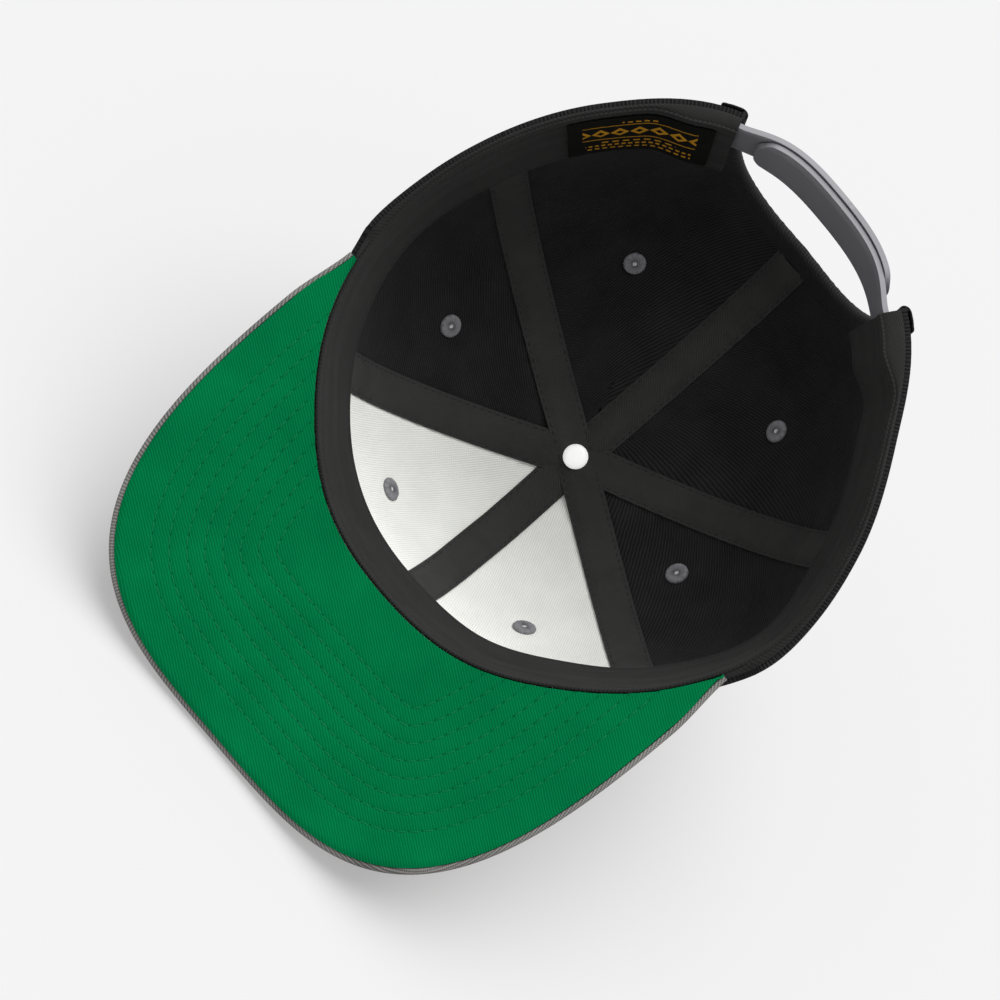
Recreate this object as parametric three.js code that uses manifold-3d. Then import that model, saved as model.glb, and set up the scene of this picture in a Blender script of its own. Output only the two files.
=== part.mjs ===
// Snapback cap with six gores, a flat-set brim and a plastic snap strap, lying on its crown.
// The cap's own frame: origin in the middle of the rim, +Z towards the top of the crown,
// -Y towards the brim, +X towards the wearer's left. Lengths are millimetres, angles degrees.

import * as THREE from 'three';
import Module from 'manifold-3d';

const wasm = await Module();
wasm.setup();
const { Manifold } = wasm;

// Crown
const RIM_R = 92.5;
const CROWN_H = 110.8;
const TOP_X = 6.4;
const TOP_Y = -1.7;
const GAP = 0.35;
const OUT = 3.4;
const PANEL_T = 2.4;
const TWILL_T = 1.15;
const TOP_HOLE_R = 3.0;

// One row per station round the rim, from the front towards the wearer's left. r is the rim's
// radius as a share of RIM_R, z its height as a share of CROWN_H, flank and shoulder are the powers
// of the superellipse that the gore follows, lean is how much of the radius the wall has lost at the
// height of the top.
const CROWN_COLUMNS = ['az', 'r', 'z', 'flank', 'shoulder', 'lean'];
const CROWN = [
  [0.0, 0.894, 0.034, 2.45, 4.35, 0.263],
  [22.5, 0.910, 0.011, 2.27, 4.22, 0.241],
  [45.0, 0.912, -0.015, 1.84, 3.92, 0.184],
  [67.5, 0.944, -0.003, 1.42, 3.62, 0.101],
  [90.0, 0.970, 0.001, 1.27, 3.51, -0.022],
  [112.5, 0.998, -0.031, 1.64, 3.65, 0.037],
  [135.0, 1.067, -0.036, 2.21, 3.98, 0.044],
  [157.5, 1.175, 0.023, 2.83, 4.30, 0.079],
  [180.0, 1.160, 0.065, 2.97, 4.43, 0.064],
  [202.5, 1.133, 0.023, 2.83, 4.30, 0.080],
  [225.0, 1.026, -0.036, 2.21, 3.98, 0.044],
  [247.5, 1.002, -0.031, 1.67, 3.65, 0.062],
  [270.0, 1.000, 0.001, 1.30, 3.51, 0.018],
  [292.5, 0.950, -0.003, 1.42, 3.62, 0.099],
  [315.0, 0.909, -0.015, 1.84, 3.92, 0.184],
  [337.5, 0.906, 0.011, 2.27, 4.22, 0.241],
];

// Seams between the gores
const SEAM_FRONT = -1.5;
const SEAM_LEFT = 58.0;
const SEAM_BACK_LEFT = 115.9;
const SEAM_BACK = 180.3;
const SEAM_BACK_RIGHT = 246.2;
const SEAM_RIGHT = 298.0;

// Seam tapes
const TAPE_W = 13.5;
const TAPE_T = 1.0;
const TAPE_GAP = 0.65;
const TAPE_START = 16.0;

// Sweatband and label
const BAND_W = 32.0;
const BAND_T = 1.3;
const BAND_STAND = 4.4;
const BAND_END = 158.6;
const BAND_FOLD = 0.6;
const BAND_OFF = 0.55;
const LABEL_FROM = 128.0;
const LABEL_TO = 155.0;
const LABEL_T = 0.8;
const LABEL_GAP = 0.65;
const LABEL_MARGIN = 1.5;

// Opening at the back and its binding
const ARCH_HALF_W = 39.2;
const ARCH_H = 66.3;
const ARCH_POWER = 3.1;
const BIND_T = 0.8;
const BIND_W = 8.0;
const BIND_GAP = 0.7;

// Brim
const JOIN_AZ = 77.3;
const BRIM_HALF_W = 91.4;
const BRIM_DEPTH = 68.2;
const BRIM_POWER = 3.44;
const BRIM_TILT = 8.07;
const BRIM_CURVE = 0.00155;
const BRIM_T = 3.4;
const UNDER_T = 1.0;
const BRIM_LIP = 1.8;
const BRIM_ROOT = 0.55;

// Strap
const STRAP_W = 19.0;
const STRAP_T = 1.5;
const STRAP_OFF = -1.0;
const STRAP_LEAN = 2.4;
const STRAP_BOW = 4.3;
const STRAP_TWIST = 2.2;
const STRAP_TUCK = 9.0;
const STRAP_SHORT = 6.5;
const STRAP_CORNER = 7.0;
const STUD_COUNT = 6;
const STUD_PITCH = 9.5;
const STUD_R = 1.9;
const STUD_HEAD_R = 2.7;
const STUD_CLEAR = 0.4;

// Eyelets: from_top is the length along the gore from the middle of the top
const EYELET_R = 4.0;
const EYELET_BARREL_R = 2.2;
const EYELET_HOLE_R = 0.9;
const EYELET_T = 0.75;
const EYELET_SAG = 0.5;
const EYELET_COLUMNS = ['name', 'az', 'from_top'];
const EYELETS = [
  ['front_left', 28.6, 76.1],
  ['front_right', -32.4, 75.1],
  ['side_left', 86.0, 65.2],
  ['side_right', -88.0, 58.6],
  ['back_left', 148.1, 70.7],
  ['back_right', -145.0, 71.9],
];

// Button and rivet
const BUTTON_R = 7.0;
const BUTTON_H = 5.0;
const RIVET_R = 4.4;
const RIVET_H = 1.6;
const RIVET_SAG = 1.3;
const POST_R = 1.4;

// How the cap lies: turned over, on the front of its crown and the brim's edge
const REST_ROLL = 0.0;
const REST_PRESS = 1.6;

// Colours
const BLACK = 0x1b1c1d;
const TAPE_BLACK = 0x2b2c2e;
const BAND_BLACK = 0x303133;
const BUCKRAM = 0xd8d9d5;
const GREEN = 0x066c41;
const GREY = 0x7d7b78;
const PLASTIC = 0x66656b;
const THREAD = 0x7e7f88;
const PALE = 0xf0f0ec;
const LABEL_BLACK = 0x121212;

const rad = (deg) => (deg * Math.PI) / 180;
const V = (x, y, z) => new THREE.Vector3(x, y, z);
const smooth = (x, lo, hi) => THREE.MathUtils.smoothstep(x, lo, hi);
const steps = (lo, hi, n) => Array.from({ length: n + 1 }, (_, i) => lo + ((hi - lo) * i) / n);

// Station values at any azimuth, by a periodic cubic through the table's rows
function station(az) {
  const n = CROWN.length;
  const pos = (((az % 360) + 360) % 360) / (360 / n);
  const i = Math.floor(pos) % n;
  const t = pos - Math.floor(pos);
  const out = {};
  CROWN_COLUMNS.forEach((name, c) => {
    const [a, b, d, e] = [-1, 0, 1, 2].map((k) => CROWN[(i + k + n) % n][c]);
    out[name] = b + 0.5 * t * (d - a + t * (2 * a - 5 * b + 4 * d - e + t * (3 * (b - d) + e - a)));
  });
  return out;
}

// The line up a gore at one azimuth, as points and lengths from the rim
const lines = new Map();
function gore(az) {
  const key = az.toFixed(5);
  if (lines.has(key)) return lines.get(key);
  const s = station(az);
  const [x, y] = [s.r * RIM_R * Math.sin(rad(az)), -s.r * RIM_R * Math.cos(rad(az))];
  const points = steps(0, 1, 72).map((k) => {
    const a = (k ** 1.35 * Math.PI) / 2;
    const up = k === 0 ? 0 : Math.sin(a) ** (2 / s.shoulder);
    const away = k === 1 ? 0 : Math.cos(a) ** (2 / s.flank) * (1 - s.lean * up);
    return V(x * away + TOP_X * up, y * away + TOP_Y * up, CROWN_H * (s.z * (1 - up) + up));
  });
  const lengths = [0];
  for (let i = 1; i < points.length; i += 1) {
    lengths.push(lengths[i - 1] + points[i].distanceTo(points[i - 1]));
  }
  lines.set(key, { points, lengths, total: lengths[lengths.length - 1] });
  return lines.get(key);
}

// A point on the surface at an azimuth and a length from the rim
function bare(az, length) {
  const { points, lengths, total } = gore(az);
  const want = Math.min(length, total);
  let i = 1;
  while (i < lengths.length - 1 && lengths[i] < want) i += 1;
  const t = (want - lengths[i - 1]) / (lengths[i] - lengths[i - 1]);
  return points[i - 1].clone().lerp(points[i], t);
}

function normalAt(az, length) {
  const left = gore(az).total - length;
  const probe = Math.min(length, gore(az).total - 3);
  const along = bare(az + 0.6, probe).sub(bare(az - 0.6, probe));
  const up = bare(az, Math.max(probe, 1.5) + 1.5).sub(bare(az, Math.max(probe, 1.5) - 1.5));
  const n = along.cross(up).normalize();
  return n.lerp(V(0, 0, 1), 1 - smooth(left, 3, 16)).normalize();
}

// The brim's height over its plan, and its grid: columns from one junction to the other, rows from
// the root to the edge
const tip = bare(0, 0);
const joint = bare(JOIN_AZ, 0);
const brimHeight = (x, y) => tip.z - Math.tan(rad(BRIM_TILT)) * (tip.y - y) - BRIM_CURVE * x * x;
function brimGrid(grow, off) {
  const depth = joint.y - (tip.y - BRIM_DEPTH);
  return steps(-1, 1, 28).map((s) => {
    const az = s * JOIN_AZ;
    const root = bare(az, 0).add(V(Math.sin(rad(az)), -Math.cos(rad(az)), 0).multiplyScalar(BRIM_ROOT));
    const a = rad(90 * (1 - s));
    const [c, q] = [Math.cos(a), Math.abs(Math.sin(a))];
    const x = (BRIM_HALF_W + grow) * Math.sign(c) * Math.abs(c) ** (2 / BRIM_POWER);
    const y = joint.y - (depth + grow) * (q < 1e-9 ? 0 : q ** (2 / BRIM_POWER));
    const mend = root.z - brimHeight(root.x, root.y);
    return steps(0, 1, 4).map((k) => {
      const [px, py] = [root.x + (x - root.x) * k, root.y + (y - root.y) * k];
      return V(px, py, brimHeight(px, py) + mend * (1 - k) ** 2 + off);
    });
  });
}

// How the cap lies: the pitch at which the brim's edge and the pressed front of the crown both touch
const turnBy = (pitch) => new THREE.Matrix4().makeRotationX(rad(pitch))
  .multiply(new THREE.Matrix4().makeRotationY(rad(180 + REST_ROLL)));
const upFor = (pitch) => V(0, 0, 1).applyMatrix4(turnBy(pitch).invert());
const least = (points, up) => points.reduce((low, p) => Math.min(low, p.dot(up)), Infinity);
const crownSkin = steps(-100, 100, 40).flatMap((az) => steps(0.3, 0.98, 40)
  .map((k) => bare(az, gore(az).total * k).addScaledVector(normalAt(az, gore(az).total * k), OUT)));
const brimSkin = brimGrid(BRIM_LIP, BRIM_T).flat();
let [flatter, steeper] = [20, 60];
for (let i = 0; i < 30; i += 1) {
  const pitch = (flatter + steeper) / 2;
  const lifted = least(brimSkin, upFor(pitch)) > least(crownSkin, upFor(pitch)) + REST_PRESS;
  [flatter, steeper] = lifted ? [pitch, steeper] : [flatter, pitch];
}
const turn = turnBy(steeper);
const UP = upFor(steeper);

// The cloth is pressed flat where it lies on the surface, floor being the surface's height along UP
const floor = least(crownSkin, UP) + REST_PRESS;
function skin(az, length, off) {
  const p = bare(az, length).addScaledVector(normalAt(az, length), off);
  const low = floor + (OUT - off) - p.dot(UP);
  return low > 0 ? p.addScaledVector(UP, low) : p;
}

// Lies a point on the crown by its place on a chart: distance and bearing from the top
function charted(az, down, side, off) {
  const across = side === 0 ? 0 : side / Math.max(flatRadius(az, down), 1e-6);
  const bearing = (Math.atan(across) * 180) / Math.PI;
  const from = down > 1e-6 ? down * Math.hypot(1, across) : Math.abs(side);
  return skin(az + bearing, gore(az + bearing).total - from, off);
}
function flatRadius(az, down) {
  const p = bare(az, gore(az).total - down);
  return Math.hypot(p.x - TOP_X * (p.z / CROWN_H), p.y - TOP_Y * (p.z / CROWN_H));
}

// A closed body between an outer and an inner grid of points
function slab(outer, inner) {
  const [nu, nv] = [outer.length, outer[0].length];
  const points = [...outer.flat(), ...inner.flat()];
  const o = (i, j) => i * nv + j;
  const n = (i, j) => nu * nv + i * nv + j;
  const faces = [];
  const quad = (a, b, c, d) => faces.push([a, b, c], [a, c, d]);
  for (let i = 0; i < nu - 1; i += 1) {
    for (let j = 0; j < nv - 1; j += 1) {
      quad(o(i, j), o(i + 1, j), o(i + 1, j + 1), o(i, j + 1));
      quad(n(i, j), n(i, j + 1), n(i + 1, j + 1), n(i + 1, j));
    }
    quad(o(i, 0), n(i, 0), n(i + 1, 0), o(i + 1, 0));
    quad(o(i, nv - 1), o(i + 1, nv - 1), n(i + 1, nv - 1), n(i, nv - 1));
  }
  for (let j = 0; j < nv - 1; j += 1) {
    quad(o(0, j), o(0, j + 1), n(0, j + 1), n(0, j));
    quad(o(nu - 1, j), n(nu - 1, j), n(nu - 1, j + 1), o(nu - 1, j + 1));
  }
  return { points, faces };
}

// A closed body from a row of equal rings of points, each ring going round the way that faces out
function tube(rings, capFaces) {
  const m = rings[0].length;
  const points = rings.flat();
  const faces = [];
  for (let i = 0; i < rings.length - 1; i += 1) {
    for (let k = 0; k < m; k += 1) {
      const [a, b] = [i * m + k, i * m + ((k + 1) % m)];
      faces.push([a, b, b + m], [a, b + m, a + m]);
    }
  }
  const last = (rings.length - 1) * m;
  for (const [a, b, c] of capFaces) faces.push([c, b, a], [last + a, last + b, last + c]);
  return { points, faces };
}

const onCircle = (r, a, z) => V(r * Math.cos(rad(a)), r * Math.sin(rad(a)), z);

// A turned body about local Z from rows of radius and height; radius 0 closes it on the axis
function turned(rows, sides) {
  const points = [];
  const index = rows.map(([r, z]) => {
    const start = points.length;
    if (r === 0) points.push(V(0, 0, z));
    else steps(0, 360, sides).slice(0, sides).forEach((a) => points.push(onCircle(r, a, z)));
    return { start, ring: r !== 0 };
  });
  const faces = [];
  const ring = rows[0][0] !== 0;
  for (let i = 0; i < rows.length - (ring ? 0 : 1); i += 1) {
    const [a, b] = [index[i], index[(i + 1) % rows.length]];
    for (let k = 0; k < sides; k += 1) {
      const l = (k + 1) % sides;
      const [a0, a1] = a.ring ? [a.start + k, a.start + l] : [a.start, a.start];
      const [b0, b1] = b.ring ? [b.start + k, b.start + l] : [b.start, b.start];
      if (a.ring) faces.push([a0, a1, b1]);
      if (b.ring) faces.push([a0, b1, b0]);
    }
  }
  return { points, faces };
}

function move(body, matrix) {
  return { points: body.points.map((p) => p.clone().applyMatrix4(matrix)), faces: body.faces };
}

// Bodies to and from the solids that can be cut and joined
function toSolid({ points, faces }) {
  return new Manifold(new wasm.Mesh({
    numProp: 3,
    vertProperties: new Float32Array(points.flatMap((p) => [p.x, p.y, p.z])),
    triVerts: new Uint32Array(faces.flat()),
  }));
}
function fromSolid(solid) {
  const mesh = solid.simplify(0.02).getMesh();
  const points = [];
  const faces = [];
  for (let i = 0; i < mesh.vertProperties.length; i += mesh.numProp) {
    points.push(V(mesh.vertProperties[i], mesh.vertProperties[i + 1], mesh.vertProperties[i + 2]));
  }
  for (let i = 0; i < mesh.triVerts.length; i += 3) {
    faces.push([mesh.triVerts[i], mesh.triVerts[i + 1], mesh.triVerts[i + 2]]);
  }
  return { points, faces };
}
function cut(body, ...tools) {
  let solid = toSolid(body);
  for (const tool of tools) solid = solid.subtract(toSolid(tool));
  return fromSolid(solid);
}
function join(body, ...others) {
  let solid = toSolid(body);
  for (const other of others) solid = solid.add(toSolid(other));
  return fromSolid(solid);
}

// A frame on the crown whose Z is the outward normal
function seat(az, length, off) {
  const z = normalAt(az, length);
  const x = bare(az + 0.5, length).sub(bare(az - 0.5, length)).normalize();
  const y = z.clone().cross(x).normalize();
  x.copy(y).cross(z);
  return new THREE.Matrix4().makeBasis(x, y, z).setPosition(skin(az, length, off));
}

// The cap hangs in a group that turns it over and sets it down
const cap = new THREE.Group();
cap.name = 'cap';
function piece(name, body, color, roughness, metalness = 0) {
  const geometry = new THREE.BufferGeometry();
  const flat = body.points.flatMap((p) => [p.x, p.y, p.z]);
  geometry.setAttribute('position', new THREE.Float32BufferAttribute(flat, 3));
  geometry.setIndex(body.faces.flat());
  geometry.computeVertexNormals();
  const material = new THREE.MeshStandardMaterial({ color, roughness, metalness });
  material.name = `${name}_material`;
  const mesh = new THREE.Mesh(geometry, material);
  mesh.name = name;
  cap.add(mesh);
}

// The brim lies under the front of the rim, so the gores start higher there
const seatAngle = (az) => Math.abs(((((az + 180) % 360) + 360) % 360) - 180);
const frontLift = (az) => (BRIM_T + GAP) * (1 - smooth(seatAngle(az), JOIN_AZ + 3.2, JOIN_AZ + 8));

// Height of the opening's edge at an azimuth, grown by a margin
const BACK_R = CROWN[8][1] * RIM_R;
const archAz = (side) => 180 - ((side / BACK_R) * 180) / Math.PI;
function archLine(grow, n) {
  return steps(0, 180, n).map((a) => {
    const [c, s] = [Math.cos(rad(a)), Math.max(Math.sin(rad(a)), 0)];
    const side = (ARCH_HALF_W + grow) * Math.sign(c) * Math.abs(c) ** (2 / ARCH_POWER);
    return { side, up: (ARCH_H + grow) * s ** (2 / ARCH_POWER), a };
  });
}

// Gores: columns of azimuth with the length at which each starts
const ROWS = steps(0, 1, 14);
function goreGrid(columns, off) {
  const n = columns.length - 1;
  return columns.map(([az, low], i) => {
    const top = gore(az).total - TOP_HOLE_R;
    return ROWS.map((k) => {
      const length = low + (top - low) * k;
      const radius = Math.max(flatRadius(az, gore(az).total - length), TOP_HOLE_R);
      const inset = i === 0 ? GAP / 2 : i === n ? -GAP / 2 : 0;
      return skin(az + (inset / radius) * (180 / Math.PI), length, off);
    });
  });
}
const plainColumns = (from, to, n) => steps(from, to, n).map((az) => [az, frontLift(az)]);
const EDGE = BIND_T + GAP;
const halfArch = archLine(EDGE, 18).map(({ side, up }) => [archAz(side), up]);
const backLeft = [
  ...plainColumns(SEAM_BACK_LEFT, halfArch[0][0], 5).slice(0, 5),
  ...halfArch.filter(([az]) => az < SEAM_BACK - 1.5),
  [SEAM_BACK, ARCH_H + EDGE],
];
const backRight = [
  [SEAM_BACK, ARCH_H + EDGE],
  ...halfArch.filter(([az]) => az > SEAM_BACK + 1.5),
  ...plainColumns(halfArch[halfArch.length - 1][0], SEAM_BACK_RIGHT, 5).slice(1),
];
const GORES = [
  ['front_left', plainColumns(SEAM_FRONT, SEAM_LEFT, 8), true],
  ['front_right', plainColumns(SEAM_RIGHT - 360, SEAM_FRONT, 8), true],
  ['side_left', plainColumns(SEAM_LEFT, SEAM_BACK_LEFT, 8), false],
  ['side_right', plainColumns(SEAM_BACK_RIGHT, SEAM_RIGHT, 8), false],
  ['back_left', backLeft, false],
  ['back_right', backRight, false],
];
const eyelets = Object.fromEntries(EYELETS.map((row) => {
  const e = Object.fromEntries(EYELET_COLUMNS.map((name, i) => [name, row[i]]));
  e.length = gore(e.az).total - e.from_top;
  e.tool = move(turned([[0, -12], [EYELET_BARREL_R + GAP, -12], [EYELET_BARREL_R + GAP, 12], [0, 12]], 12),
    seat(e.az, e.length, 0));
  return [e.name, e];
}));
const IN = OUT - PANEL_T;
for (const [name, columns, stiff] of GORES) {
  const inner = stiff ? OUT - TWILL_T : IN;
  const shell = slab(goreGrid(columns, OUT), goreGrid(columns, inner));
  piece(`panel_${name}`, cut(shell, eyelets[name].tool), BLACK, 0.92);
  if (stiff) {
    const backing = slab(goreGrid(columns, inner - GAP), goreGrid(columns, IN));
    piece(`buckram_${name.slice(6)}`, cut(backing, eyelets[name].tool), BUCKRAM, 0.95);
  }
}

// Eyelets: a stitched ring on both faces, joined through the hole
for (const e of Object.values(eyelets)) {
  const [hi, lo] = [OUT + GAP, IN - GAP - EYELET_SAG];
  const rows = [
    [EYELET_HOLE_R, lo - EYELET_T], [EYELET_R - 0.5, lo - EYELET_T], [EYELET_R, lo],
    [EYELET_BARREL_R, lo], [EYELET_BARREL_R, hi], [EYELET_R, hi],
    [EYELET_R - 0.5, hi + EYELET_T], [EYELET_HOLE_R, hi + EYELET_T],
  ];
  piece(`eyelet_${e.name}`, move(turned(rows, 12), seat(e.az, e.length, 0)), THREAD, 0.8);
}

// Seam tapes: strips along a seam, given as rows of azimuth and distance from the top
const TAPE_OUT = IN - TAPE_GAP;
function strip(stations, half, outer, inner) {
  const grid = (off) => [-half, 0, half]
    .map((side) => stations.map(([az, down, flip]) => charted(az, down, side * flip, off)));
  return slab(grid(outer), grid(inner));
}
function seamStations(az, low, end) {
  const total = gore(az).total;
  return ROWS.map((k) => low + (total - end - low) * k).map((length) => [az, total - length, 1]);
}
const crossUp = seamStations(SEAM_RIGHT, TAPE_START, TOP_HOLE_R + 2);
const crossDown = seamStations(SEAM_BACK_LEFT, TAPE_START, TOP_HOLE_R + 2);
const crossStations = [...crossUp, ...crossDown.map(([az, down]) => [az, down, -1]).reverse()];
const postTool = (r) => move(turned([[0, -15], [r, -15], [r, 15], [0, 15]], 12),
  new THREE.Matrix4().makeTranslation(TOP_X, TOP_Y, CROWN_H));
const crossTape = strip(crossStations, TAPE_W / 2, TAPE_OUT, TAPE_OUT - TAPE_T);
const crossRoom = strip(crossStations, TAPE_W / 2 + GAP, TAPE_OUT + 2, TAPE_OUT - TAPE_T - 2);
piece('tape_cross', cut(crossTape, postTool(POST_R + GAP)), TAPE_BLACK, 0.9);

const TAPES = [
  ['front', SEAM_FRONT, TAPE_START],
  ['left', SEAM_LEFT, TAPE_START],
  ['back', SEAM_BACK, ARCH_H + EDGE + BIND_W + GAP],
  ['right', SEAM_BACK_RIGHT, TAPE_START],
];
const rooms = { left: ['front'], right: ['back'] };
const strips = Object.fromEntries(TAPES.map(([name, az, low]) => [name, {
  body: strip(seamStations(az, low, 4), TAPE_W / 2, TAPE_OUT, TAPE_OUT - TAPE_T),
  room: strip(seamStations(az, low, 3), TAPE_W / 2 + GAP, TAPE_OUT + 2, TAPE_OUT - TAPE_T - 2),
}]));
for (const [name] of TAPES) {
  const tools = [crossRoom, ...(rooms[name] || []).map((other) => strips[other].room)];
  piece(`tape_${name}`, cut(strips[name].body, ...tools), TAPE_BLACK, 0.9);
}

// Sweatband: folded at the rim, standing off the crown further in and over the strap's ends
const standOff = (length) => BAND_STAND * (Math.max(length, 0) / BAND_W) ** 1.2;
const LEAF_ROOM = BAND_OFF - STRAP_OFF + STRAP_T + GAP;
const strapRoom = (az) => LEAF_ROOM * smooth(az, BAND_END - 16, BAND_END - 7)
  + (LEAF_ROOM + STRAP_T + GAP) * smooth(-az, BAND_END - 16, BAND_END - 7);
function bandPoint(az, length, depth) {
  const p = skin(az, Math.max(length, 0), BAND_OFF - standOff(length) - strapRoom(az) - depth);
  return length < 0 ? p.add(V(0, 0, length)) : p;
}
const bandRows = [-BAND_FOLD, 5, 11, 18, 25, BAND_W];
const bandColumns = steps(-BAND_END, BAND_END, 52);
const bandGrid = (depth) => bandColumns
  .map((az) => bandRows.map((length) => bandPoint(az, length, depth)));
piece('sweatband', slab(bandGrid(0), bandGrid(BAND_T)), BAND_BLACK, 0.85);

const within = (list, lo, hi) => [lo, ...list.filter((x) => x > lo + 1 && x < hi - 1), hi];
const labelColumns = within(bandColumns, LABEL_FROM, LABEL_TO);
const labelRows = within(bandRows, LABEL_MARGIN * 2, BAND_W - LABEL_MARGIN);
const labelGrid = (depth) => labelColumns
  .map((az) => labelRows.map((length) => bandPoint(az, length, BAND_T + LABEL_GAP + depth)));
piece('label', slab(labelGrid(0), labelGrid(LABEL_T)), LABEL_BLACK, 0.8);

// Binding of the opening's edge: a folded strip with a leaf on each face
const [LEAF_OUT, LEAF_IN] = [OUT + BIND_GAP, IN - BIND_GAP];
const bindSection = [
  [0, LEAF_OUT + BIND_T], [0, LEAF_IN - BIND_T], [BIND_W, LEAF_IN - BIND_T], [BIND_W, LEAF_IN],
  [BIND_T, LEAF_IN], [BIND_T, LEAF_OUT], [BIND_W, LEAF_OUT], [BIND_W, LEAF_OUT + BIND_T],
];
const bindCap = [[0, 1, 4], [1, 2, 3], [1, 3, 4], [0, 4, 5], [0, 5, 6], [0, 6, 7]];
const edge = archLine(0, 22);
const bindRings = edge.map(({ side, up }, i) => {
  const [a, b] = [edge[Math.max(i - 1, 0)], edge[Math.min(i + 1, edge.length - 1)]];
  const run = new THREE.Vector2(b.side - a.side, b.up - a.up).normalize();
  const away = new THREE.Vector2(-run.y, run.x).multiplyScalar(-1);
  if (i === 0 || i === edge.length - 1) away.set(Math.sign(side), 0);
  return bindSection.map(([d, off]) => skin(archAz(side + away.x * d), Math.max(up + away.y * d, 0), off));
});
piece('arch_binding', tube(bindRings, bindCap), TAPE_BLACK, 0.9);

// Brim
piece('brim_under', slab(brimGrid(0, 0), brimGrid(0, UNDER_T)), GREEN, 0.9);
piece('brim_top', slab(brimGrid(BRIM_LIP, UNDER_T + GAP), brimGrid(BRIM_LIP, BRIM_T)), GREY, 0.9);

// Strap: two leaves along the rim, bowing out over the opening, one with holes and one with studs
// through them
function strapPoint(side, up, off) {
  const az = archAz(side);
  const free = (1 - Math.min(Math.abs(side / ARCH_HALF_W), 1) ** 4) ** 2;
  const lean = STRAP_LEAN + STRAP_TWIST * free;
  const p = bare(az, 0);
  const out = V(Math.sin(rad(az)), -Math.cos(rad(az)), 0);
  return p.addScaledVector(out, off + STRAP_BOW * free - lean * (up / STRAP_W)).add(V(0, 0, up));
}
function leaf(from, to, roundAt, off) {
  const ends = [0, 0.06, 0.16, 0.34, 0.6, 1].map((k) => k * STRAP_CORNER);
  const middle = steps(0, 1, 10).slice(1, 10);
  const sign = Math.sign(to - from);
  const stops = [
    ...ends.map((d) => from + sign * d),
    ...middle.map((k) => from + sign * STRAP_CORNER + (to - from - 2 * sign * STRAP_CORNER) * k),
    ...ends.map((d) => to - sign * d).reverse(),
  ];
  const grid = (depth) => stops.map((side) => {
    const d = Math.min(Math.abs(side - roundAt), STRAP_CORNER);
    const c = STRAP_CORNER - Math.sqrt(Math.max(STRAP_CORNER ** 2 - (STRAP_CORNER - d) ** 2, 0));
    return [c, STRAP_W / 2, STRAP_W - c].map((up) => strapPoint(side, up, off - depth));
  });
  return from > to ? slab(grid(0), grid(STRAP_T)) : slab(grid(0).reverse(), grid(STRAP_T).reverse());
}
const INNER_OFF = STRAP_OFF - STRAP_T - GAP;
const [LEFT, RIGHT] = [ARCH_HALF_W + STRAP_TUCK, -ARCH_HALF_W - STRAP_TUCK];
const outerLeaf = leaf(LEFT, -ARCH_HALF_W + STRAP_SHORT, -ARCH_HALF_W + STRAP_SHORT, STRAP_OFF);
const innerLeaf = leaf(ARCH_HALF_W - STRAP_SHORT, RIGHT, ARCH_HALF_W - STRAP_SHORT, INNER_OFF);
const studs = steps(0, STUD_COUNT - 1, STUD_COUNT - 1).map((i) => {
  const side = (i - (STUD_COUNT - 1) / 2) * STUD_PITCH;
  const spot = (s, up) => strapPoint(s, up * STRAP_W, INNER_OFF);
  const at = spot(side, 0.5);
  const x = spot(side - 1, 0.5).sub(spot(side + 1, 0.5)).normalize();
  const y = spot(side, 1).sub(spot(side, 0)).normalize();
  const z = x.clone().cross(y).normalize();
  y.copy(z).cross(x);
  return new THREE.Matrix4().makeBasis(x, y, z).setPosition(at);
});
const reach = GAP + STRAP_T + GAP;
const stud = turned([
  [0, -0.7], [STUD_R, -0.7], [STUD_R, reach], [STUD_HEAD_R, reach],
  [STUD_HEAD_R, reach + 0.5], [STUD_HEAD_R - 0.9, reach + 1.2], [0, reach + 1.2],
], 10);
const hole = turned([[0, -2], [STUD_R + STUD_CLEAR, -2], [STUD_R + STUD_CLEAR, 5], [0, 5]], 10);
piece('strap_outer', cut(outerLeaf, ...studs.map((m) => move(hole, m))), PLASTIC, 0.5);
piece('strap_inner', join(innerLeaf, ...studs.map((m) => move(stud, m))), PLASTIC, 0.5);

// Button outside and rivet inside, at the middle of the top
const top = new THREE.Matrix4().makeTranslation(TOP_X, TOP_Y, CROWN_H);
const seatZ = OUT + GAP;
function dome(r, z, h, n) {
  return steps(0, 90, n).map((a) => [a === 90 ? 0 : r * Math.cos(rad(a)), z + h * Math.sin(rad(a))]);
}
const socket = POST_R + GAP;
const buttonRows = [
  [0, seatZ + 2.5], [socket, seatZ + 2.5], [socket, seatZ], [BUTTON_R - 0.4, seatZ],
  ...dome(BUTTON_R, seatZ + 0.8, BUTTON_H - 0.8, 5),
];
piece('top_button', move(turned(buttonRows, 20), top), GREY, 0.85);
const low = TAPE_OUT - TAPE_T - GAP - RIVET_SAG;
const rivetRows = [
  ...dome(RIVET_R, low - 0.5, 0.5 - RIVET_H, 4).reverse(), [RIVET_R, low],
  [POST_R, low], [POST_R, seatZ + 2.1], [0, seatZ + 2.1],
];
piece('rivet', move(turned(rivetRows, 18), top), PALE, 0.4, 0.2);

// Set down: turned over, pitched, the pressed cloth on the surface, centred over the origin
const resting = new THREE.Group();
resting.name = 'snapback_cap';
cap.applyMatrix4(turn);
resting.add(cap);
resting.updateMatrixWorld(true);
const box = new THREE.Box3().setFromObject(cap, true);
cap.position.set(-(box.min.x + box.max.x) / 2, -(box.min.y + box.max.y) / 2, -box.min.z);
resting.updateMatrixWorld(true);

export default resting;
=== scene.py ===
# %% [markdown]
# # A snapback cap, seen from inside
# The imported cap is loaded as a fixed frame. Every soft piece is then modelled over its solid: six
# gores of twill, white stiffener, seam tapes, a sweatband, a bound opening, a quilted brim, a plastic
# snap strap and small fittings. Each piece starts as a primitive, is shaped, and is finished with
# modifiers that are applied. Lengths in the tables are millimetres; Blender gets metres.

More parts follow.
